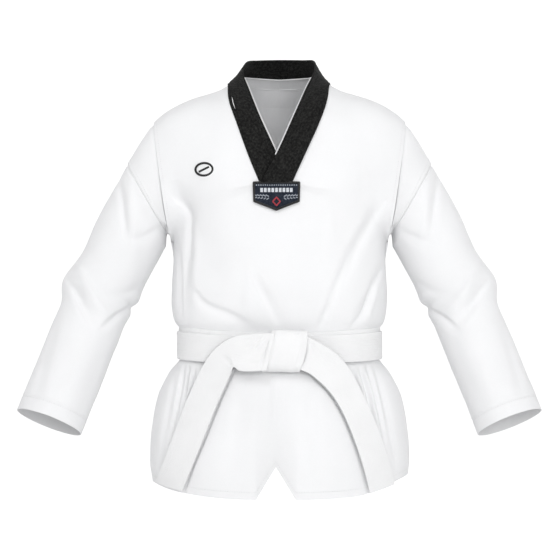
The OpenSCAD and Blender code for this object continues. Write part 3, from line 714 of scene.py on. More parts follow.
# Folds of the sleeves' fronts in front view, for the side each is on
SLEEVE_FRONT_FOLDS = {
    "right": [
        ([(-0.280, -0.156), (-0.272, -0.205), (-0.264, -0.264)], -0.0052, 0.0060, 0.3),
        ([(-0.258, -0.158), (-0.255, -0.222), (-0.250, -0.294)], 0.0038, 0.0090, 0.0),
        ([(-0.346, -0.316), (-0.322, -0.358), (-0.290, -0.404)], 0.0072, 0.0105, -0.2),
        ([(-0.366, -0.334), (-0.343, -0.373), (-0.316, -0.412)], -0.0062, 0.0085, 0.2),
        ([(-0.258, -0.384), (-0.284, -0.400), (-0.306, -0.422)], -0.0058, 0.0060, 0.2),
        ([(-0.236, -0.340), (-0.262, -0.358), (-0.292, -0.362)], -0.0030, 0.0085, 0.0),
        ([(-0.386, -0.420), (-0.403, -0.480), (-0.413, -0.542)], -0.0032, 0.0095, 0.2),
        ([(-0.296, -0.432), (-0.316, -0.500), (-0.346, -0.574)], -0.0022, 0.0130, 0.0),
        ([(-0.204, -0.244), (-0.234, -0.262), (-0.266, -0.268)], -0.0030, 0.0085, 0.2),
        ([(-0.330, -0.446), (-0.350, -0.500), (-0.372, -0.556)], 0.0016, 0.0120, 0.0),
    ],
    "left": [
        ([(0.276, -0.156), (0.269, -0.206), (0.261, -0.258)], -0.0052, 0.0060, -0.3),
        ([(0.255, -0.158), (0.251, -0.220), (0.245, -0.288)], 0.0036, 0.0090, 0.0),
        ([(0.338, -0.318), (0.316, -0.358), (0.286, -0.396)], 0.0070, 0.0105, 0.2),
        ([(0.358, -0.338), (0.332, -0.378), (0.304, -0.410)], -0.0062, 0.0085, -0.2),
        ([(0.258, -0.386), (0.284, -0.402), (0.306, -0.424)], -0.0058, 0.0060, -0.2),
        ([(0.238, -0.338), (0.264, -0.356), (0.294, -0.360)], -0.0030, 0.0085, 0.0),
        ([(0.386, -0.424), (0.402, -0.480), (0.412, -0.540)], -0.0032, 0.0095, -0.2),
        ([(0.298, -0.436), (0.318, -0.502), (0.346, -0.572)], -0.0022, 0.0130, 0.0),
        ([(0.206, -0.246), (0.236, -0.264), (0.266, -0.272)], -0.0030, 0.0085, -0.2),
        ([(0.332, -0.450), (0.352, -0.502), (0.372, -0.556)], 0.0016, 0.0120, 0.0),
    ],
}
# Folds of the sleeves' backs, with points as (key, turn in degrees)
SLEEVE_BACK_FOLDS = {
    "left": [
        ([(0.120, 306), (0.165, 268), (0.190, 214)], -0.0048, 0.0080, 0.3),
        ([(0.175, 334), (0.205, 284), (0.225, 224)], -0.0052, 0.0080, -0.3),
        ([(0.260, 300), (0.330, 290), (0.410, 296)], -0.0034, 0.0090, 0.3),
        ([(0.050, 290), (0.100, 280), (0.140, 268)], -0.0030, 0.0080, 0.2),
    ],
    "right": [
        ([(0.118, 300), (0.162, 262), (0.188, 210)], -0.0048, 0.0080, 0.3),
        ([(0.172, 336), (0.202, 286), (0.222, 226)], -0.0052, 0.0080, -0.3),
        ([(0.265, 304), (0.335, 292), (0.415, 298)], -0.0034, 0.0090, 0.3),
        ([(0.052, 286), (0.102, 276), (0.142, 266)], -0.0030, 0.0080, 0.2),
    ],
}
GIRTH = 0.062  # metres of cloth for each radian round the sleeve


def sleeve_relief(p, key, turn, side):
    """Height of a sleeve's cloth over the form."""
    turn = turn % (2 * np.pi)
    start = ease(key, 0, 0.05)
    h = uneven(p, 5) * start + uneven(p) * (1 - start)
    scaled = [([(k, math.radians(t) * GIRTH) for k, t in points], *rest)
              for points, *rest in SLEEVE_BACK_FOLDS[side]]
    h = h + folds(key, turn * GIRTH, scaled) * ease(-np.sin(turn), 0, 0.3)
    in_front = ease(np.sin(turn), -0.15, 0.35) * ease(key, 0.01, 0.04)
    h = h + folds(p[..., 0], p[..., 2], SLEEVE_FRONT_FOLDS[side]) * in_front
    for shape in SLEEVE_LUMPS:
        h = h + lump(key, turn, *shape)
    body_folds = (relief(p) - uneven(p)) * (1 - start)
    seam = np.exp(-(((key - SEAM_KEY) / 0.0009) ** 2))
    raised = ease(key, SEAM_KEY - 0.0080, SEAM_KEY - 0.0060) * (1 - ease(key, SEAM_KEY, SEAM_KEY + 0.0010))
    cuff_line = np.exp(-(((key - CUFF_KEY + CUFF_HEM) / 0.0012) ** 2))
    return h + body_folds - 0.0021 * seam + 0.0007 * raised - 0.0008 * cuff_line


def sleeve_face(key, turn, side, lift=0.0):
    """A point on the face of a sleeve's cloth."""
    key, turn = np.broadcast_arrays(np.asarray(key, float), np.asarray(turn, float))
    p = on_sleeve(key, turn) * [SIDES[side], 1, 1]
    tuck = -0.0027 * (1 - ease(key, 0.0, 0.0042))
    return p + outward(p) * (sleeve_relief(p, key, turn, side) + tuck + lift)[..., None]


SLEEVE_COLS = 148
# Rows along the upper sleeve, closest together at its seam, and rows along the forearm
UPPER_KEYS = (np.linspace(0, 0.034, 16), np.linspace(0.0345, 0.0455, 23), np.linspace(0.047, SPLIT_KEY, 50))
LOWER_KEYS = np.linspace(SPLIT_KEY, CUFF_KEY, 128)


def elbow_zone(side):
    """Where the cloth starts and ends to bend at the elbow."""
    start, past = along(SLEEVE_CENTRES, np.array(SPLIT_KEY)), along(SLEEVE_CENTRES, np.array(0.262))
    way = unit(UPPER_WAY + LOWER_WAY)
    end = start + way * float((past - start) @ way)
    return [tuple(q * [SIDES[side], 1, 1]) for q in (start, end)]


def make_sleeve(side):
    """The upper sleeve, with a lip turned in under the armhole's edge, and the forearm."""
    turns = -SIDES[side] * np.arange(SLEEVE_COLS) / SLEEVE_COLS * 2 * np.pi
    upper = np.concatenate(UPPER_KEYS)
    keys = np.concatenate([upper, LOWER_KEYS[1:]])
    g = sleeve_face(keys[:, None], turns[None, :] % (2 * np.pi), side)
    lip = g[0] + (g[0] - g[2]) * 1.2 - outward(g[0]) * 0.0012
    g = np.concatenate([lip[None], g])
    n = turned(grid_normals(g, True), 60, slice(None), outward(g[60]))
    split = 1 + len(upper)
    head = cloth_grid(f"{side}_sleeve_head", g[:split], white, ring=True, normals=n[:split])
    arm = cloth_grid(f"{side}_sleeve_arm", g[split - 1:], white, ring=True, normals=n[split - 1:])
    return head, arm


# Outer and inner edge of each strap in front view, from the knot to the tip
STRAP_EDGES = {
    "right": (
        [(-0.008, -0.4245), (-0.042, -0.4256), (-0.072, -0.4297), (-0.098, -0.4431), (-0.118, -0.4632),
         (-0.138, -0.4967), (-0.164, -0.557), (-0.1875, -0.6206), (-0.2125, -0.6825)],
        [(-0.022, -0.4875), (-0.050, -0.4892), (-0.067, -0.4883), (-0.0775, -0.4825), (-0.0840, -0.4984),
         (-0.1045, -0.5436), (-0.1260, -0.5971), (-0.1505, -0.6574), (-0.1645, -0.6910)],
    ),
    "left": (
        [(0.030, -0.4240), (0.047, -0.4307), (0.086, -0.4522), (0.115, -0.481), (0.1436, -0.5327),
         (0.1666, -0.5871), (0.1867, -0.644), (0.1950, -0.6830)],
        [(0.014, -0.4800), (0.036, -0.4867), (0.0576, -0.4984), (0.0862, -0.5268), (0.1088, -0.5637),
         (0.1289, -0.613), (0.1425, -0.6560), (0.1520, -0.6940)],
    ),
}


# --- the skirt ---------------------------------------------------------------------------------------
NOTCH = (-0.006, -0.648)  # the notch's peak in front view
NOTCH_HALF = 0.033
HEM = -0.703
SKIRT_TOP = -0.452
SKIRT_HALF = 0.219  # half width of the skirt at the hem
SKIRT_ROWS, SKIRT_HALF_COLS = 130, 118
SIDE_GAP = 0.0012  # from each skirt to the middle between them, at the side vents


def hem_at(x):
    """Height of the hem over x: higher at the sides, with the notch in the middle."""
    low = HEM + 0.021 * (np.abs(x) / 0.225) ** 3 + 0.012 * ease(x, 0.13, 0.21)
    d = np.abs(x - NOTCH[0]) / NOTCH_HALF
    return np.where(d >= 1, low, mix(NOTCH[1], low, np.clip(d, 0, 1)))


# Folds of the front skirt, each (points in front view, height, width, skew)
SKIRT_FOLDS = [
    ([(-0.146, -0.486), (-0.150, -0.520), (-0.160, -0.575)], -0.0095, 0.0038, 0.2),
    ([(-0.155, -0.486), (-0.160, -0.525), (-0.173, -0.600)], -0.0085, 0.0042, -0.2),
    ([(-0.165, -0.486), (-0.173, -0.530), (-0.190, -0.620)], -0.0080, 0.0045, 0.2),
    ([(-0.1505, -0.486), (-0.155, -0.520), (-0.166, -0.585)], 0.0040, 0.0035, 0.0),
    ([(-0.135, -0.486), (-0.139, -0.512), (-0.150, -0.560)], 0.0030, 0.0050, 0.0),
    ([(-0.178, -0.500), (-0.190, -0.560), (-0.204, -0.650)], -0.0045, 0.0070, 0.2),
    ([(0.112, -0.488), (0.122, -0.515), (0.136, -0.550)], -0.0085, 0.0042, 0.2),
    ([(0.124, -0.486), (0.139, -0.530), (0.158, -0.610)], -0.0090, 0.0042, -0.2),
    ([(0.137, -0.486), (0.151, -0.530), (0.170, -0.625)], -0.0085, 0.0045, 0.2),
    ([(0.150, -0.486), (0.166, -0.540), (0.186, -0.650)], -0.0085, 0.0050, 0.2),
    ([(0.163, -0.486), (0.180, -0.545), (0.200, -0.660)], -0.0060, 0.0060, 0.2),
    ([(0.144, -0.486), (0.158, -0.530), (0.178, -0.620)], 0.0040, 0.0040, 0.0),
    ([(-0.060, -0.510), (-0.072, -0.590), (-0.084, -0.690)], -0.0030, 0.0180, 0.2),
    ([(0.050, -0.530), (0.060, -0.600), (0.066, -0.690)], -0.0030, 0.0180, -0.2),
    ([(-0.008, -0.494), (-0.008, -0.540), (-0.007, -0.600)], 0.0022, 0.0060, 0.0),
]
PRESS_DEPTH, PRESS_WIDTH = -0.0044, 0.0018  # of the lines where the straps press on the cloth
PRESS_GAP = 0.0015  # from a strap's inner edge to its line
KNOT_PRESS = (
    [(-0.078, -0.4915), (-0.050, -0.4920), (0.000, -0.4920), (0.043, -0.4915), (0.051, -0.4900)],
    -0.0010, 0.0016, 0.0,
)


def press_line(side):
    """The line where a strap's inner edge presses on the front skirt."""
    inward = PRESS_GAP if side == "right" else -PRESS_GAP
    low = [(x + inward, z) for x, z in STRAP_EDGES[side][1] if z < -0.495]
    return [(low[0][0] + 3.5 * inward, -0.4895)] + low[:-1] + [(low[-1][0], -0.7000)]


BACK_SKIRT_FOLDS = [
    ([(-0.150, -0.484), (-0.160, -0.540), (-0.176, -0.660)], -0.0060, 0.0080, 0.2),
    ([(-0.118, -0.484), (-0.124, -0.530), (-0.134, -0.640)], -0.0050, 0.0080, -0.2),
    ([(-0.070, -0.484), (-0.074, -0.540), (-0.080, -0.690)], -0.0046, 0.0100, 0.2),
    ([(0.000, -0.484), (0.002, -0.540), (0.000, -0.640)], 0.0030, 0.0140, 0.0),
    ([(0.066, -0.484), (0.070, -0.540), (0.078, -0.690)], -0.0046, 0.0100, -0.2),
    ([(0.114, -0.484), (0.122, -0.530), (0.136, -0.640)], -0.0050, 0.0080, 0.2),
    ([(0.150, -0.484), (0.162, -0.540), (0.180, -0.660)], -0.0060, 0.0080, -0.2),
]


def skirt_point(share, v, side, lift=0.0):
    """A point of the skirt; share runs from -1 to 1 across and v from 0 at the top to 1 at the hem."""
    share, v = np.broadcast_arrays(np.asarray(share, float), np.asarray(v, float))
    z = mix(SKIRT_TOP, hem_at(share * SKIRT_HALF + NOTCH[0] * (1 - np.abs(share))), v)
    x = share * along(HALF_WIDTHS, z) + NOTCH[0] * (1 - np.abs(share)) * ease(v, 0, 0.3)
    p = on_form(x, z, side)
    lines = BACK_SKIRT_FOLDS
    if side < 0:
        lines = SKIRT_FOLDS + [KNOT_PRESS] + [(press_line(s), PRESS_DEPTH, PRESS_WIDTH, 0.0) for s in SIDES]
    h = uneven(p, 11) + folds(x, z, lines) * (1 - ease(np.abs(share), 0.93, 1.0))
    h = h - 0.0022 * ease(z, -0.490, -0.470)
    return p + outward(p) * (h + lift)[..., None]


def make_skirt(side):
    """The front skirt (side -1) or the back skirt (side 1); a column of its grid meets each notch corner."""
    half = np.sin(np.linspace(0, np.pi / 2, SKIRT_HALF_COLS))
    shares = np.concatenate([-half[:0:-1], half])
    corner = NOTCH_HALF / SKIRT_HALF
    for sign in (-1, 1):
        nearest = np.argmin(np.abs(shares - sign * corner))
        shares[nearest] = sign * corner
    if side > 0:
        shares = shares[::-1]
    v = np.linspace(0, 1, SKIRT_ROWS)
    g = skirt_point(shares[None, :], v[::-1, None], side)
    if side > 0:
        g[..., 1] = np.maximum(g[..., 1], CENTRE + SIDE_GAP)
    else:
        g[..., 1] = np.minimum(g[..., 1], CENTRE - SIDE_GAP)
    n = grid_normals(g)
    row, col = len(v) // 2, len(shares) // 2
    if np.sum(n[row, col] * outward(g[row, col])) < 0:
        g, n = g[:, ::-1], -n[:, ::-1]
    name = "front_skirt_cloth" if side < 0 else "back_skirt_cloth"
    return cloth_grid(name, g, white, normals=n)


# --- ribbons, piping and stitches ---------------------------------------------------------------
def across_places(count, crowd=0.6):
    """Places from 0 to 1 across a band, closer together at its edges."""
    c = np.linspace(0, 1, count)
    return mix(c, (1 - np.cos(np.pi * c)) / 2, crowd)


def row_grooves(share, rows, depth, width):
    """Depth of the stitched rows across a band, where share runs from 0 to 1."""
    out = np.zeros_like(share)
    for at in rows:
        out += depth * np.exp(-(((share - at) / width) ** 2))
    return out


def run_along(line):
    """Distance from the start of a line to each of its points."""
    return np.concatenate([[0], np.cumsum(np.linalg.norm(np.diff(line, axis=0), axis=-1))])


def end_caps(row, cols, reverse):
    """Faces that close a ribbon's section at a row of its grid."""
    around = 2 * cols - 2
    caps = []
    for c in range(cols - 1):
        corners = (c, (around - c) % around, around - c - 1, c + 1)
        cap = [row * around + k for k in dict.fromkeys(corners)]
        caps.append(cap[::-1] if reverse else cap)
    return caps


def ribbon(name, grid, normals, share, material, thickness=STRAP, ring=False, front=0, back=0):
    """A band with rounded edges around a grid of middle points. Rows run along it, share says where each
    column lies across it, and front and back are the heights of the relief on its two faces."""
    rows, cols = grid.shape[:2]
    width = np.linalg.norm(grid[0, -1] - grid[0, 0])
    from_edge = np.minimum(share, 1 - share) * width
    radius = thickness / 2
    half = radius * np.sqrt(np.clip(1 - (1 - np.clip(from_edge / radius, 0, 1)) ** 2, 0, 1))
    face = grid + normals * np.broadcast_to(half + front, (rows, cols))[..., None]
    under = grid - normals * np.broadcast_to(half + back, (rows, cols))[..., None]
    section = np.concatenate([face, under[:, -2:0:-1]], 1)
    caps = end_caps(0, cols, True) + end_caps(rows - 1, cols, False)
    obj = solid(name, section, material, ring, caps)
    if not ring:
        for polygon in obj.data.polygons[-len(caps):]:
            polygon.use_smooth = False
    return obj


def cut_ribbon(obj, names, row, cols):
    """Cuts a ribbon in two at a row of its grid and closes both ends; its shading runs on over the cut."""
    whole = obj.data
    points = np.array([v.co[:] for v in whole.vertices])
    faces = [list(p.vertices) for p in whole.polygons]
    face_of_corner = np.repeat(np.arange(len(faces)), [len(f) for f in faces])
    normals = np.array([c.vector[:] for c in whole.corner_normals])
    uv = np.array([d.uv[:] for d in whole.uv_layers[0].data])
    around = 2 * cols - 2
    first = row * around
    way = unit(points[first:first + around].mean(0) - points[first - around:first].mean(0))
    caps = end_caps(row, cols, False)
    a, b, c = points[caps[cols // 2][:3]]
    backwards = np.cross(b - a, c - a) @ way < 0
    near = np.array([min(f) < first for f in faces])
    pieces = []
    for name, mask, flip, out in ((names[0], near, backwards, way), (names[1], ~near, not backwards, -way)):
        ends = [cap[::-1] if flip else cap for cap in caps]
        kept = [f for f, keep in zip(faces, mask) if keep] + ends
        used, new = np.unique(np.concatenate(kept), return_inverse=True)
        places = np.cumsum([0] + [len(f) for f in kept])
        kept = [new[i:j].tolist() for i, j in zip(places[:-1], places[1:])]
        extra = sum(len(f) for f in ends)
        corners = mask[face_of_corner]
        flat = np.concatenate([uv[corners], np.zeros((extra, 2))])
        shading = np.concatenate([normals[corners], np.broadcast_to(out, (extra, 3))])
        pieces.append(new_object(name, points[used], kept, flat, whole.materials[0], shading))
    bpy.data.objects.remove(obj)
    bpy.data.meshes.remove(whole)
    return pieces


def tube(name, line, radius, material, sides=8):
    """A round piping along a line of points, with rounded ends."""
    way = unit(np.gradient(line, axis=0))
    up = unit(np.cross(way, np.array([0, 1.0, 0.2])))
    other = np.cross(way, up)
    turn = np.arange(sides) / sides * 2 * np.pi
    ring = up[:, None] * np.cos(turn)[None, :, None] + other[:, None] * np.sin(turn)[None, :, None]
    from_start = np.arange(len(line)) + 1
    size = radius * np.sqrt(np.clip(np.minimum(from_start, from_start[::-1]) / 2, 0, 1))
    return solid(name, line[:, None] + ring * size[:, None, None], material)


STITCH_PITCH, STITCH_LENGTH = 0.0040, 0.0026
STITCH_HALF_WIDTH, STITCH_HEIGHT = 0.00045, 0.00035


def stitches(name, line):
    """A row of single stitches along a line of points on the cloth, each a small pointed bead."""
    run = run_along(line)
    count = max(int(run[-1] / STITCH_PITCH), 1)
    at = (np.arange(count) + 0.5) * run[-1] / count

    def pick(values, s):
        return np.stack([np.interp(s, run, values[:, k]) for k in range(3)], -1)

    a, b, m = pick(line, at - STITCH_LENGTH / 2), pick(line, at + STITCH_LENGTH / 2), pick(line, at)
    n = unit(pick(outward(line), at))
    side = unit(np.cross(n, b - a)) * STITCH_HALF_WIDTH
    shapes = np.stack([a, m + side, b, m - side, m + n * STITCH_HEIGHT, m - n * STITCH_HEIGHT], 1)
    bead = [(k, (k + 1) % 4, 4) for k in range(4)] + [((k + 1) % 4, k, 5) for k in range(4)]
    faces = [[6 * k + i for i in f] for k in range(count) for f in bead]
    return new_object(name, shapes.reshape(-1, 3), faces, None, white_thread)


# --- collar ------------------------------------------------------------------------------------------
# Inner edge of each half of the band, from the middle behind the neck to the foot of the V
FREE_EDGE = {
    "left": [
        (0, 0.060, 0.0565), (0.038, 0.054, 0.0555), (0.060, 0.024, 0.050), (0.0595, -0.012, 0.026),
        (0.0445, -0.054, -0.009), (0.023, -0.091, -0.060), (-0.0035, -0.111, -0.120),
        (-0.0315, -0.113, -0.1715),
    ],
    "right": [
        (0, 0.060, 0.0565), (0.036, 0.054, 0.0550), (0.0560, 0.024, 0.0485), (0.0630, -0.012, 0.0250),
        (0.0520, -0.054, -0.009), (0.0325, -0.091, -0.060), (0.0060, -0.1085, -0.119),
        (-0.0150, -0.1060, -0.1715),
    ],
}
BAND_THICK = 0.0036
BAND_STEPS, BAND_COLS = 170, 44
BEHIND = 0.4  # share of a band that lies behind the neck


def band_seam(t, side):
    """The outer edge of a band: along the neck opening of the back, then down the front."""
    bx, bz = back_opening(np.clip(t / BEHIND, 0, 1))
    line = route(SEAM_EDGE[side], np.clip((t - BEHIND) / (1 - BEHIND), 0, 1))
    fx, fz = line[..., 0], line[..., 1]
    back = on_form(bx, bz, 1)
    front = on_form(fx, np.minimum(fz, ridge(fx) - 1e-4), -1)
    p = np.where((t < BEHIND)[..., None], back, front)
    for _ in range(3):
        p[2:-2] = (p[1:-3] + 2 * p[2:-2] + p[3:-1]) / 4
    return p + outward(p) * 0.0022


def band_grid(side):
    """The middle of half a collar band; at the foot of the V the left half lies over the right."""
    over = side == "left"
    t = np.linspace(0, 1, BAND_STEPS)
    w = across_places(BAND_COLS)
    seam = band_seam(t, side)
    free = route(FREE_EDGE[side], t)
    if over:
        form_y = on_form(free[:, 0], free[:, 2], -1)[:, 1]
        free[:, 1] = mix(free[:, 1], form_y - 0.0062, ease(t, 0.80, 0.92))
    else:
        free[:, 1] += 0.0030 * ease(t, 0.74, 0.84)
        seam[:, 1] += 0.0012 * ease(t, 0.86, 0.97)
    g = seam[:, None] + (free - seam)[:, None] * w[None, :, None]
    bow = np.sin(np.pi * w)[None, :] * np.where(t > BEHIND, 1, 0.3)[:, None]
    g[..., 1] -= 0.0028 * bow * ease(t, 0.3, 0.5)[:, None] * (1 if over else 0.6)
    g[0, :, 0] = 0.0
    return g, w, t


def make_band(side):
    """Half the collar band, with a deep row of stitching along each edge and three fine ones between."""
    g, w, _ = band_grid(side)
    g = g * [SIDES[side], 1, 1]
    n = turned(grid_normals(g), 120, 20, FORWARD)
    rows = row_grooves(w, (0.095, 0.905), -0.0010, 0.030) + row_grooves(w, (0.30, 0.5, 0.70), -0.00025, 0.02)
    wave = 0.0005 * lattice(g, 0.03, 21 if side == "left" else 22)
    front = rows[None, :] + wave * (np.minimum(w, 1 - w) > 0.02)
    return ribbon(f"{side}_collar_band_cloth", g, n, w, black, BAND_THICK, front=front, back=rows)


left_band, right_band = make_band("left"), make_band("right")

PIPING_OUT = 0.0011  # from a band's free edge to the middle of its piping
PIPING_START = 0.475  # share of a band where its front piping starts
BEHIND_NECK = 0.33  # share of a band where the piping and the facing behind the neck end


def free_line(side, end):
    """A line just outside a band's free edge."""
    g, _, t = band_grid(side)
    keep = (t >= PIPING_START) & (t <= end)
    way = unit(g[:, -1] - g[:, 0])
    return (g[:, -1] + way * PIPING_OUT)[keep] * [SIDES[side], 1, 1]


def inner_back(share, lift):
    """A line on the inside of the band behind the neck, from one side to the other."""
    g, w, t = band_grid("left")
    n = grid_normals(g)
    n = np.where(n[..., 1:2] * g[..., 1:2] > 0, -n, n)
    column = int(np.argmin(np.abs(w - share)))
    line = (g[:, column] + n[:, column] * lift)[t <= BEHIND_NECK]
    return np.concatenate([(line * [-1, 1, 1])[::-1], line[1:]])


def make_facing():
    """The pale cloth inside the band behind the neck, which reaches down inside the back."""
    rows = np.stack([inner_back(s, 0.0028) for s in np.linspace(0.34, 0.0, 9)])
    x, z = rows[-1, :, 0], rows[-1, :, 2]
    low, foot = on_form(x, z - 0.013, 1), on_form(x, z - 0.034, 1)
    low, foot = low - outward(low) * 0.0024, foot - outward(foot) * 0.0008
    return cloth_grid("neck_facing", np.concatenate([rows, low[None], foot[None]]), white, thickness=0.0007)


pipes = [
    tube("piping_left", free_line("left", 0.87), 0.0012, piping_white),
    tube("piping_right", free_line("right", 0.86), 0.0012, piping_white),
    tube("piping_back", inner_back(0.36, 0.0058), 0.0015, piping_white),
]
piping = join_meshes("collar_piping", pipes)
facing = make_facing()


# --- patch and emblem ----------------------------------------------------------------------------------
PATCH_MIDDLE, PATCH_TOP = -0.0050, -0.1705
PATCH_HALF = 0.0395  # half width
PATCH_SIDE, PATCH_POINT = 0.0335, 0.0160  # height of its sides, and of the point below them
PATCH_TAPER = 0.0010  # how much narrower each half is at the foot of the sides
PATCH_LIFT = 0.0040  # of the patch's face over the form
GROUND_INSET, TIP_INSET = 0.0012, 0.0022


def patch_half(d):
    """Half width of the patch at a depth below its top."""
    low = PATCH_HALF * np.clip(1 - (d - PATCH_SIDE) / PATCH_POINT, 0, 1)
    return np.where(d <= PATCH_SIDE, PATCH_HALF - PATCH_TAPER * d / PATCH_SIDE, low)


def make_patch_ground():
    d = np.linspace(GROUND_INSET, PATCH_SIDE + PATCH_POINT - TIP_INSET, 64)[:, None]
    x = np.linspace(-1, 1, 90)[None, :] * (patch_half(d) - GROUND_INSET)
    p = on_form(PATCH_MIDDLE + x, PATCH_TOP - np.broadcast_to(d, x.shape), -1)
    g = p + outward(p) * PATCH_LIFT
    return cloth_grid("patch_ground_cloth", g[::-1], patch_ground, thickness=0.0012)


RIB_HEIGHT, RIB_PITCH = 0.00022, 0.0011  # of the threads across a satin stitch


def satin(name, line, half, height, lift, material, closed=False):
    """Satin embroidery on the chest along a line of (x, z) points in front view, domed across."""
    line = np.asarray(line, float)
    way = unit(np.roll(line, -1, 0) - np.roll(line, 1, 0) if closed else np.gradient(line, axis=0))
    side = np.stack([-way[:, 1], way[:, 0]], -1)
    s = np.linspace(-1, 1, 9)
    flat = line[:, None] + side[:, None] * (s * half)[None, :, None]
    dome = np.sqrt(np.clip(1 - s**2, 0, 1))[None, :] * height
    ribs = RIB_HEIGHT * np.sin(2 * np.pi * run_along(line) / RIB_PITCH)[:, None] * (1 - s**2)[None, :]
    p = on_form(flat[..., 0], flat[..., 1], -1)
    n = outward(p)
    face = p + n * (lift + dome + ribs)[..., None]
    under = p[:, 1:-1] + n[:, 1:-1] * (lift - 0.0005)
    return solid(name, np.concatenate([face, under[:, ::-1]], 1), material, closed, crosswise=True)


def fine(points, step=0.0004, closed=False):
    """Straight runs between points, cut into short steps."""
    points = np.asarray(points, float)
    ends = np.roll(points, -1, 0) if closed else points[1:]
    out = []
    for a, b in zip(points, ends):
        count = max(int(np.linalg.norm(b - a) / step), 2)
        out.append(a + (b - a) * np.linspace(0, 1, count, endpoint=False)[:, None])
    if not closed:
        out.append(points[-1:])
    return np.concatenate(out)


def on_patch(name, points, half, height, material, closed=False, step=0.0004):
    """Satin on the patch, along points given by their distance from its middle and below its top."""
    line = fine([(PATCH_MIDDLE + x, PATCH_TOP - d) for x, d in points], step, closed)
    return satin(name, line, half, height, PATCH_LIFT, material, closed)


patch_ground_piece = make_patch_ground()
BORDER_INSET = 0.0016
border_x, border_low = PATCH_HALF - BORDER_INSET, PATCH_SIDE - 0.0006
patch_edge = on_patch("patch_border_satin", [
    (-border_x, BORDER_INSET), (border_x, BORDER_INSET), (border_x - PATCH_TAPER, border_low),
    (0, PATCH_SIDE + PATCH_POINT - TIP_INSET), (-border_x + PATCH_TAPER, border_low),
], 0.0019, 0.0010, black_satin, True, 0.0005)

DASH_PITCH, DASH_HALF, DASH_DEPTH = 0.0037, 0.0010, 0.0060
dashes = []
for k in range(-9, 10):
    ends = [(k * DASH_PITCH - DASH_HALF, DASH_DEPTH), (k * DASH_PITCH + DASH_HALF, DASH_DEPTH)]
    dashes.append(on_patch(f"dash{k}", ends, 0.0011, 0.0005, grey_thread))
top_dashes = join_meshes("patch_top_dashes", dashes)

BLOCK_PITCH, BLOCK_TOP, BLOCK_FOOT = 0.0062, 0.0108, 0.0178
blocks = []
for k in range(-4, 5):
    ends = [(k * BLOCK_PITCH, BLOCK_TOP), (k * BLOCK_PITCH, BLOCK_FOOT)]
    blocks.append(on_patch(f"block{k}", ends, 0.0024, 0.0007, pale_thread))
centre_bar = join_meshes("patch_centre_blocks", blocks)

strokes = []
for flip in (-1, 1):
    for k in range(5):
        x, d = flip * (0.0125 + 0.0050 * k), 0.0252 - 0.0002 * k
        high = [(x, d), (x + flip * 0.0052, d - 0.0028)]
        low = [(x, d + 0.0022), (x + flip * 0.0040, d + 0.0052 - 0.0006 * k)]
        for word, ends in (("a", high), ("b", low)):
            strokes.append(on_patch(f"stroke_{word}{flip}{k}", ends, 0.0009, 0.0005, grey_thread))
leaf_strokes = join_meshes("patch_leaf_strokes", strokes)

DIAMOND_MIDDLE, DIAMOND_WIDE, DIAMOND_TALL = 0.0335, 0.0062, 0.0070
red_diamond = on_patch("patch_red_diamond", [
    (0, DIAMOND_MIDDLE - DIAMOND_TALL), (DIAMOND_WIDE, DIAMOND_MIDDLE),
    (0, DIAMOND_MIDDLE + DIAMOND_TALL), (-DIAMOND_WIDE, DIAMOND_MIDDLE),
], 0.0012, 0.0006, red_thread, True)

EMBLEM = np.array([-0.128, -0.148])
EMBLEM_WIDE, EMBLEM_TALL, EMBLEM_BAR = 0.0148, 0.0106, (0.0088, 0.0040)
EMBLEM_HEIGHT, EMBLEM_LIFT = 0.0008, 0.0006
ring_turn = np.linspace(0, 2 * np.pi, 200, endpoint=False)
ring_line = EMBLEM + np.stack([EMBLEM_WIDE * np.sin(ring_turn), EMBLEM_TALL * np.cos(ring_turn)], -1)
bar_line = EMBLEM + fine([(-EMBLEM_BAR[0], -EMBLEM_BAR[1]), EMBLEM_BAR])
emblem_ring_piece = satin(
    "emblem_ring_satin", ring_line, 0.0019, EMBLEM_HEIGHT, EMBLEM_LIFT, black_satin, closed=True)
emblem_bar_piece = satin("emblem_bar_satin", bar_line, 0.0018, EMBLEM_HEIGHT, EMBLEM_LIFT, black_satin)


# --- belt ----------------------------------------------------------------------------------------------
BELT_WIDTH = 0.048
BELT_ROWS = tuple(0.06 + 0.088 * k for k in range(11))
BELT_HEIGHT, BELT_DEPTH = -0.450, 0.107  # the wrapped part's middle height, and the waist's half depth there
BELT_FACE = CENTRE - BELT_DEPTH - 0.0084
WRAP_STEPS, WRAP_COLS = 300, 62


def waist_point(turn, z, lift):
    """A point over the waist; the belt's sides lie higher than its front."""
    turn, z = np.broadcast_arrays(turn, z)
    d = np.stack([np.sin(turn), -np.cos(turn), np.zeros_like(turn)], -1)
    c = np.broadcast_to(np.array([0, CENTRE, BELT_HEIGHT]), d.shape)
    p = c + d * reach(c, d)[..., None]
    p = p + outward(p) * lift
    p[..., 2] = z + 0.008 * (np.abs(p[..., 0]) / 0.172) ** 2 - 0.005
    return p


def make_wrap(name, top, drop, lift, seed):
    """One turn of the belt; drop is how much lower its top lies at the sides than in front."""
    turn = (np.arange(WRAP_STEPS) / WRAP_STEPS * 2 * np.pi)[:, None]
    share = across_places(WRAP_COLS, 0.25)
    p = waist_point(turn, top - drop * np.sin(turn) ** 2 - BELT_WIDTH * share[None, :], lift + 0.0015)
    p = p + outward(p) * (0.0009 * lattice(p * [1, 1, 0.5], 0.055, seed))[..., None]
    p[..., 2] += 0.0009 * lattice(p * [1, 1, 0], 0.08, seed + 5)
    g = p[::-1]
    n = grid_normals(np.concatenate([g[-1:], g, g[:1]]))[1:-1]
    n = turned(n, 0, 30, outward(g[0, 30]))
    rows = row_grooves(share, BELT_ROWS, -0.00030, 0.010)
    return ribbon(name, g, n, share, belt_white, ring=True, front=rows)


inner_wrap = make_wrap("belt_inner_turn", -0.4200, -0.0005, 0.0010, 31)
outer_wrap = make_wrap("belt_outer_turn", -0.4235, 0.0055, 0.0049, 33)

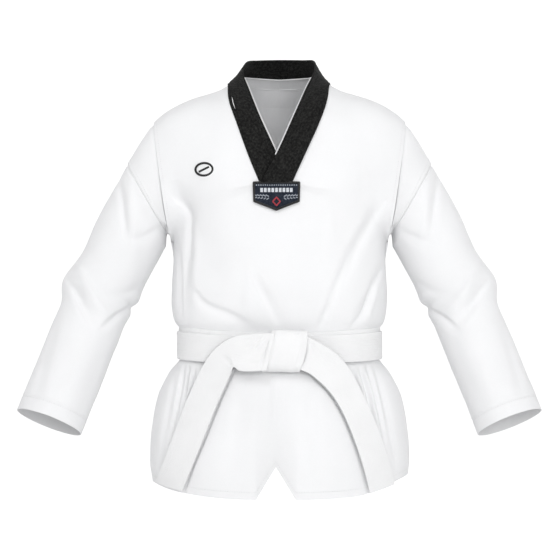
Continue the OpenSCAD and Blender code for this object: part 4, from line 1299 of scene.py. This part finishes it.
STRAP_SPLIT = {"right": 0.42, "left": 0.36}  # where the bight ends and the tail starts
STRAP_STEPS, STRAP_COLS = 190, 58
STRAP_GATHERS = {
    "right": [
        ([(-0.0270, -0.4275), (-0.0370, -0.4390), (-0.0500, -0.4500)], -0.0019, 0.0024, 0.2),
        ([(-0.0225, -0.4300), (-0.0315, -0.4430), (-0.0430, -0.4560)], -0.0018, 0.0022, 0.2),
        ([(-0.0245, -0.4270), (-0.0345, -0.4400), (-0.0470, -0.4525)], 0.0012, 0.0022, 0.0),
        ([(-0.0400, -0.4290), (-0.0500, -0.4370), (-0.0620, -0.4440)], -0.0010, 0.0030, 0.0),
        ([(-0.0780, -0.4815), (-0.0860, -0.4720), (-0.0980, -0.4640)], -0.0016, 0.0040, 0.2),
        ([(-0.0300, -0.4700), (-0.0420, -0.4740), (-0.0600, -0.4750)], -0.0009, 0.0035, 0.0),
        ([(-0.0150, -0.4280), (-0.0235, -0.4550), (-0.0315, -0.4830)], -0.0036, 0.0020, 0.0),
    ],
    "left": [
        ([(0.0480, -0.4350), (0.0560, -0.4520), (0.0600, -0.4700)], -0.0012, 0.0040, 0.0),
        ([(0.0600, -0.4420), (0.0720, -0.4600), (0.0800, -0.4800)], 0.0007, 0.0060, 0.0),
        ([(0.0495, -0.4330), (0.0440, -0.4560), (0.0370, -0.4830)], -0.0024, 0.0020, 0.0),
    ],
}


def by_length(points, t):
    """A smooth curve through points, keyed by the share of its length."""
    line = route(points, np.linspace(0, 1, 400))
    run = run_along(line)
    return np.stack([np.interp(t * run[-1], run, line[:, k]) for k in range(2)], -1)


def strap_grid(side, t, share):
    """The middle of a strap; t runs from the knot to the tip and share from the outer to the inner edge."""
    outer, inner = (by_length(e, t) for e in STRAP_EDGES[side])
    flat = outer[:, None] + (inner - outer)[:, None] * share[None, :, None]
    x, z = flat[..., 0], flat[..., 1]
    lying = on_form(x, soft_min(z, -0.492, 0.045), -1)[..., 1] - 0.0042
    near = np.clip(1 - t / 0.42, 0, 1)[:, None]
    tilt = 0.0056 * share[None, :] * ease(t, 0.10, 0.45)[:, None]
    y = lying - 0.016 * near**2 * (3 - 2 * near) - 0.003 * (1 - t[:, None]) - tilt
    if side == "left":
        y = y + 0.0060 * share[None, :] * near
    return np.stack([x, y, z], -1)


def wound(g, n, rows, share, row, col):
    """A ribbon's grid with its columns reversed where that makes its section run the right way round."""
    corner = np.cross(g[row + 1, col] - g[row, col], g[row, col + 1] - g[row, col])
    if corner @ n[row, col] < 0:
        return g[:, ::-1], n[:, ::-1], rows[::-1], 1 - share[::-1]
    return g, n, rows, share


def make_strap(side):
    """The bight and the tail of one strap, and where and in which direction it runs between them."""
    t = np.linspace(0, 1, STRAP_STEPS)
    split = int(np.argmin(np.abs(t - STRAP_SPLIT[side])))
    share = across_places(STRAP_COLS, 0.25)
    g = strap_grid(side, t, share)
    rows = row_grooves(share, BELT_ROWS, -0.00020, 0.010)
    wave = 0.0014 * lattice(g, 0.06, 41 if side == "left" else 43) * ease(t[:, None], 0.1, 0.3)
    bend = folds(g[..., 0], g[..., 2], STRAP_GATHERS[side]) + wave
    n = turned(grid_normals(g), 100, 28, FORWARD)
    g = g + n * bend[..., None]
    g, n, rows, share = wound(g, n, rows, share, 100, 28)
    whole = ribbon(f"{side}_strap", g, n, share, belt_white, front=rows)
    pieces = cut_ribbon(whole, (f"{side}_strap_bight", f"{side}_strap_tail"), split, len(share))
    centre = g[:, len(share) // 2]
    way = centre[min(split + 6, len(t) - 1)] - centre[max(split - 6, 0)]
    return pieces, centre[split], way


KNOT_STEPS, KNOT_COLS = 90, 64
# The knot's loop seen from its side, as (y, z)
KNOT_LOOP = [
    (-0.1145, -0.4270), (-0.1200, -0.4225), (-0.1300, -0.4240), (-0.1362, -0.4330), (-0.1385, -0.4480),
    (-0.1385, -0.4640), (-0.1360, -0.4790), (-0.1295, -0.4870), (-0.1200, -0.4885), (-0.1145, -0.4850),
]
# Wrinkles of the knot, each (place across, slope, height, width)
KNOT_WRINKLES = (
    (0.10, 0.10, -0.0016, 0.05), (0.20, 0.06, 0.0008, 0.08),
    (0.60, -0.20, -0.0007, 0.12), (0.92, -0.10, -0.0012, 0.06),
)


def make_knot():
    """The loop of the strap that closes the knot, from behind its top over the front to behind its foot."""
    t = np.linspace(0, 1, KNOT_STEPS)
    path = route(KNOT_LOOP, t)
    share = across_places(KNOT_COLS, 0.3)
    down = np.clip((-0.422 - path[:, 1]) / 0.065, 0, 1)
    left_x, right_x = mix(-0.0125, -0.0300, down), mix(0.0475, 0.0345, down ** 2)
    s, tt = share[None, :], t[:, None]
    x = left_x[:, None] + (right_x - left_x)[:, None] * s
    y = path[:, :1] + 0.0045 * (2 * s - 1) ** 4 * np.sin(np.pi * tt)
    z = path[:, 1:] + 0.0016 * np.sin(5.2 * s + 0.6) * np.where(tt > 0.5, 1, 0.4) * np.sin(np.pi * tt)
    g = np.stack([x, y, z], -1)
    n = turned(grid_normals(g), 45, 32, FORWARD)
    wrinkle = 0.0008 * lattice(g, 0.034, 51)
    for at, slope, high, wide in KNOT_WRINKLES:
        wrinkle += high * np.exp(-(((s - at - slope * (tt - 0.5)) / wide) ** 2)) * np.sin(np.pi * tt)
    g = g + n * wrinkle[..., None]
    rows = row_grooves(share, BELT_ROWS, -0.00012, 0.010)
    g, n, rows, share = wound(g, n, rows, share, 45, 32)
    return ribbon("belt_knot_loop", g, n, share, belt_white, thickness=0.0040, front=rows)


def make_core():
    """The crossed straps inside the knot, seen at its sides."""
    u = np.linspace(-1, 1, 40)[:, None]
    v = np.linspace(0, 2 * np.pi, 36, endpoint=False)[None, :]
    x = 0.0080 + 0.034 * u + 0 * v
    y = BELT_FACE - 0.0105 + 0.0085 * np.sin(v) * (1 - 0.15 * u**2)
    z = -0.4555 + 0.0255 * (1 - 0.10 * u**2) * np.cos(v) + 0.0012 * np.sin(3 * v)
    return solid("belt_knot_inside", np.stack([x, y, z], -1), belt_white)


knot, core = make_knot(), make_core()


# --- building and attaching ------------------------------------------------------------------------
def belongs(obj, slot, *nodes):
    if nodes:
        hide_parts(*nodes)


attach(jacket_body, "jacket")
belongs(jacket_body, "white_cloth", "front_panel", "back_panel")
for obj, slot, nodes in (
    (left_band, "dark_cloth", ("left_collar_band",)), (right_band, "dark_cloth", ("right_collar_band",)),
    (piping, "white_cloth", ("neck_piping",)), (facing, "white_cloth", ()),
    (patch_ground_piece, "navy_cloth", ("patch_backing",)), (patch_edge, "dark_cloth", ("patch_border",)),
    (top_dashes, "grey_thread", ()), (centre_bar, "grey_thread", ("patch_bar",)),
    (leaf_strokes, "grey_thread", ("patch_arch",)), (red_diamond, "red_thread", ("patch_diamond",)),
    (emblem_ring_piece, "dark_cloth", ("emblem_ring",)), (emblem_bar_piece, "dark_cloth", ("emblem_bar",)),
    (inner_wrap, "belt_cloth", ("belt_inner_wrap",)), (outer_wrap, "belt_cloth", ("belt_outer_wrap",)),
    (knot, "belt_cloth", ("belt_knot_band",)), (core, "belt_cloth", ("belt_knot_core",)),
):
    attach(obj, "jacket")
    belongs(obj, slot, *nodes)

for side in SIDES:
    head, arm = make_sleeve(side)
    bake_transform(head)
    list(elbow_zone(side))
    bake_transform(arm)
    belongs(head, "white_cloth", f"{side}_cap_panel", f"{side}_armhole_fabric", f"{side}_upper_sleeve_tube")
    belongs(arm, "white_cloth", f"{side}_elbow_fabric", f"{side}_forearm_sleeve_tube", f"{side}_cuff_band")

for side, body, word in ((-1, "front_skirt", "front"), (1, "back_skirt", "back")):
    skirt = make_skirt(side)
    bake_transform(skirt)
    belongs(skirt, "white_cloth", f"{word}_waist_fabric", f"{word}_skirt_panel", f"{word}_hem_band")

for side in SIDES:
    (bight, tail), middle_point, way = make_strap(side)
    way = unit(way * [1, 0, 1])
    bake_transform(bight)
    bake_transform(tail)
    belongs(bight, "belt_cloth", f"{side}_belt_bight")
    belongs(tail, "belt_cloth", f"{side}_belt_tail", f"{side}_tail_tip")

# Rows of stitching on the cloth's face
SEAM_STITCHES = (SEAM_KEY - 0.0022, SEAM_KEY - 0.0058)
CUFF_STITCHES = CUFF_KEY - CUFF_HEM + 0.0026
ARMHOLE_STITCH_IN = 0.0050
HEM_STITCHES = 0.950  # share of the skirt's height
ROUND_STEPS = 240
round_turns = np.linspace(0, 2 * np.pi, ROUND_STEPS)
for side, flip in SIDES.items():
    for number, key in enumerate(SEAM_STITCHES, 1):
        line = sleeve_face(np.full(ROUND_STEPS, key), round_turns, side, lift=0.0001)
        row = stitches(f"{side}_seam_stitches_{number}", line)
        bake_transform(row)
        belongs(row, "white_cloth")
    line = sleeve_face(np.full(ROUND_STEPS, CUFF_STITCHES), round_turns, side, lift=0.0001)
    row = stitches(f"{side}_cuff_stitches", line)
    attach(row, f"{side}_forearm_sleeve")
    belongs(row, "white_cloth")
    for face, word in ((-1, "front"), (1, "back")):
        seam_x, seam_z = panel_side(np.linspace(0.56, 0.985, 160))
        line = dressed(on_form((seam_x - ARMHOLE_STITCH_IN) * flip, seam_z, face), 0.0002)
        row = stitches(f"{side}_{word}_armhole_stitches", line)
        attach(row, "jacket")
        belongs(row, "white_cloth")
for side, word in ((-1, "front"), (1, "back")):
    line = skirt_point(np.linspace(-0.975, 0.975, 400), np.full(400, HEM_STITCHES), side, lift=0.0001)
    row = stitches(f"{word}_hem_stitches", line)
    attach(row, f"{word}_skirt")
    belongs(row, "white_cloth")


# --- floor, light and camera -----------------------------------------------------------------------
def make_stage():
    """A pale round floor that curves up into a wall all the way round, which glows more behind the jacket."""
    floor_z, wall, bend, top, sides = -1.15, 6.0, 1.6, 6.0, 72
    turn = np.linspace(0, np.pi / 2, 20)
    profile = [(0.02, floor_z)]
    profile += [(wall - bend + bend * math.sin(a), floor_z + bend - bend * math.cos(a)) for a in turn]
    profile += [(wall, top)]
    around = np.arange(sides) / sides * 2 * np.pi
    points = [(r * math.cos(a), r * math.sin(a), z) for r, z in profile for a in around]
    faces = grid_faces(len(profile), sides, True).tolist() + [list(range(sides))[::-1]]
    s = Shader("studio_paper", (0.6, 0.6, 0.6), 0.9)
    s.out.inputs["Emission Color"].default_value = (1, 1, 1, 1)
    depth = s.node("SeparateXYZ", {0: s.node("TexCoord").outputs["Object"]}).outputs[1]
    values = {"Value": depth, "From Min": 0.6, "From Max": 1.9, "To Min": 0.30, "To Max": 0.56}
    glow = s.node("MapRange", values)
    s.tree.links.new(glow.outputs[0], s.out.inputs["Emission Strength"])
    new_object("studio_floor", points, faces, None, s.mat)


make_stage()


def soft_light(name, at, toward, size, power):
    """A square soft light in watts, which the camera does not see."""
    data = bpy.data.lights.new(name, "AREA")
    data.size = size
    data.energy = power
    obj = bpy.data.objects.new(name, data)
    obj.location = at
    obj.rotation_euler = (Vector(toward) - Vector(at)).to_track_quat("-Z", "Y").to_euler()
    obj.visible_camera = False
    bpy.context.scene.collection.objects.link(obj)


soft_light("key_light", (0.90, -3.3, 0.05), (0, 0, -0.35), 1.0, 29)
soft_light("top_light", (-0.5, -2.5, 1.9), (0, 0, -0.25), 1.3, 27)

WORLD_STRENGTH = 0.55
world = bpy.data.worlds.new("studio_world")
world.use_nodes = True
background = world.node_tree.nodes["Background"]
background.inputs["Color"].default_value = (1, 1, 1, 1)
background.inputs["Strength"].default_value = WORLD_STRENGTH
bpy.context.scene.world = world
bpy.context.scene.view_settings.view_transform = "Standard"

CAMERA_AT = (0.0009, -3.0, -0.336)
LENS, SENSOR = 110.2, 36  # in millimetres
camera_data = bpy.data.cameras.new("photo_camera")
camera_data.lens = LENS
camera_data.sensor_width = SENSOR
camera = bpy.data.objects.new("photo_camera", camera_data)
camera.location = CAMERA_AT
camera.rotation_euler = (math.pi / 2, 0, 0)
bpy.context.scene.collection.objects.link(camera)
bpy.context.scene.camera = camera
